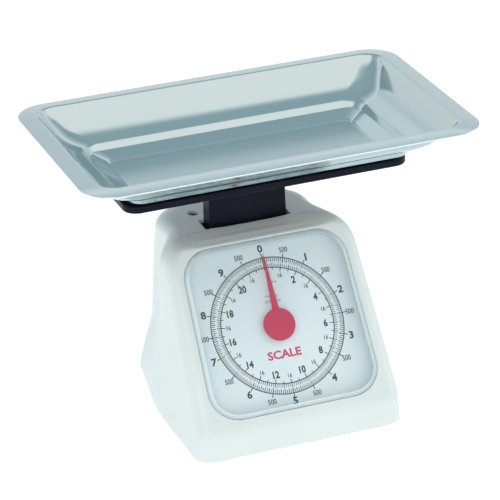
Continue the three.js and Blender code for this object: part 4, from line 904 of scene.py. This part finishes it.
# The well's floor is painted a little darker than the walls: painted shade in the well. It is also rougher.
well_share = stainless_tree.nodes.new("ShaderNodeMapRange")
well_share.interpolation_type = "SMOOTHSTEP"
well_share.inputs["From Min"].default_value = (TRAY_FLOOR_Z + 0.6) * MM
well_share.inputs["From Max"].default_value = (TRAY_FLOOR_Z + 0.1) * MM
stainless_tree.links.new(height_split.outputs["Z"], well_share.inputs["Value"])
color_with_well_shade = stainless_tree.nodes.new("ShaderNodeMix")
color_with_well_shade.data_type = "RGBA"
color_with_well_shade.inputs["A"].default_value = (0.76, 0.815, 0.82, 1.0)
color_with_well_shade.inputs["B"].default_value = (0.74, 0.80, 0.82, 1.0)
stainless_tree.links.new(well_share.outputs["Result"], color_with_well_shade.inputs["Factor"])
cloud = stainless_tree.nodes.new("ShaderNodeMix")
cloud.data_type = "RGBA"
cloud.blend_type = "MULTIPLY"
cloud.inputs["B"].default_value = (0.95, 0.96, 0.965, 1.0)
stainless_tree.links.new(pattern(stainless, 9.0, 3.0), cloud.inputs["Factor"])
stainless_tree.links.new(color_with_well_shade.outputs["Result"], cloud.inputs["A"])
# The sheet's underside is painted a dark blue grey: painted shade on the underside of the sheet.
under_share = stainless_tree.nodes.new("ShaderNodeAttribute")
under_share.attribute_name = "under"
color_with_underside_shade = stainless_tree.nodes.new("ShaderNodeMix")
color_with_underside_shade.data_type = "RGBA"
color_with_underside_shade.inputs["B"].default_value = (0.40, 0.50, 0.53, 1.0)
stainless_tree.links.new(under_share.outputs["Fac"], color_with_underside_shade.inputs["Factor"])
stainless_tree.links.new(cloud.outputs["Result"], color_with_underside_shade.inputs["A"])
stainless_tree.links.new(color_with_underside_shade.outputs["Result"], stainless_shader.inputs["Base Color"])
well_rough = stainless_tree.nodes.new("ShaderNodeMapRange")
well_rough.inputs["To Min"].default_value = 0.075
well_rough.inputs["To Max"].default_value = 0.20
stainless_tree.links.new(well_share.outputs["Result"], well_rough.inputs["Value"])
brushing = stainless_tree.nodes.new("ShaderNodeMath")
brushing.operation = "MULTIPLY_ADD"
brushing.inputs[1].default_value = 0.05
stainless_tree.links.new(pattern(stainless, 30.0, 4.0, (1.0, 8.0, 8.0)), brushing.inputs[0])
stainless_tree.links.new(well_rough.outputs["Result"], brushing.inputs[2])
stainless_tree.links.new(brushing.outputs["Value"], stainless_shader.inputs["Roughness"])
fit(tray, stainless, "tray_unit", ["tray"])

# ---------------------------------------------------------------------------------------------
# The works. Zinc-plated sheet, wire and rod, brass rack, pinion, bushes and zero screw, and
# black rubber feet and bumper. They keep their CAD shapes and get their own finishes.
# ---------------------------------------------------------------------------------------------

zinc = new_finish("zinc_plate", (0.62, 0.64, 0.66), 0.36, metallic=1.0)
vary_color(zinc, pattern(zinc, 55.0, 4.0), (0.54, 0.57, 0.60), (0.70, 0.71, 0.71))
vary_roughness(zinc, pattern(zinc, 260.0, 3.0), 0.28, 0.46)
emboss(zinc, pattern(zinc, 420.0, 3.0), 0.02)
brass = new_finish("brass", (0.60, 0.44, 0.17), 0.32, metallic=1.0)
vary_color(brass, pattern(brass, 90.0, 3.0), (0.52, 0.37, 0.13), (0.66, 0.50, 0.21))
vary_roughness(brass, pattern(brass, 500.0, 2.0, (1.0, 1.0, 8.0)), 0.25, 0.4)
rubber = new_finish("black_rubber", (0.022, 0.022, 0.024), 0.8)
vary_color(rubber, pattern(rubber, 120.0, 3.0), (0.016, 0.016, 0.018), (0.034, 0.034, 0.036))
emboss(rubber, pattern(rubber, 1500.0, 2.0), 0.03)

finish_of_slot = {"zinc_steel": zinc, "brass": brass, "rubber": rubber, "red_plastic": red_plastic}
slot_of_node = {row["node"]: row["material_slot"] for row in frame["record"]["subparts"]}
for name, node in frame["nodes"].items():
    if node.hide_render:
        continue
    node.data.materials.clear()
    node.data.materials.append(finish_of_slot[slot_of_node[name]])

SPRING_X = 18.0
SPRING_Y = 32.0
SPRING_COIL_RADIUS = 5.2
SPRING_WIRE_RADIUS = 0.8
SPRING_TURNS = 22
SPRING_TOP = 127.7
SPRING_BOTTOM = 37.8
COIL_TOP = 116.0
COIL_BOTTOM = 50.0


def wire(name, route, radius, sides=10):
    """Round wire along a route: at each point a circle square to the route, its first arm the
    part of +X that is square to it."""
    ahead = np.gradient(route, axis=0)
    ahead /= np.linalg.norm(ahead, axis=1)[:, None]
    arm = np.cross(ahead, np.array((0.0, 0.3, 1.0)))
    arm /= np.linalg.norm(arm, axis=1)[:, None]
    other = np.cross(ahead, arm)
    angle = np.linspace(0.0, 2 * math.pi, sides, endpoint=False)
    circle = arm[:, None] * np.cos(angle)[None, :, None] + other[:, None] * np.sin(angle)[None, :, None]
    return surface(name, route[:, None] + circle * radius, sharp=60.0)


for side, node in ((-1, "spring_left"), (1, "spring_right")):
    share = np.linspace(0.0, 1.0, SPRING_TURNS * 16)
    angle = 2 * math.pi * SPRING_TURNS * share
    coil_height = blend_between(COIL_BOTTOM, COIL_TOP, share)
    grow = SPRING_COIL_RADIUS * eased(share, 0.0, 0.02) * (1 - eased(share, 0.98, 1.0))
    coil_x = side * SPRING_X + grow * np.cos(angle)
    coil = np.stack([coil_x, SPRING_Y + grow * np.sin(angle), coil_height], -1)
    end = np.array((side * SPRING_X, SPRING_Y, 0.0))
    low_end = end + np.linspace(SPRING_BOTTOM, COIL_BOTTOM - 1.0, 8)[:, None] * (0.0, 0.0, 1.0)
    high_end = end + np.linspace(COIL_TOP + 1.0, SPRING_TOP, 8)[:, None] * (0.0, 0.0, 1.0)
    spring = wire(f"{node}_wound", np.concatenate([low_end, coil, high_end]), SPRING_WIRE_RADIUS)
    spring.data.materials.append(zinc)
    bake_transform(spring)
    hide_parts(node)
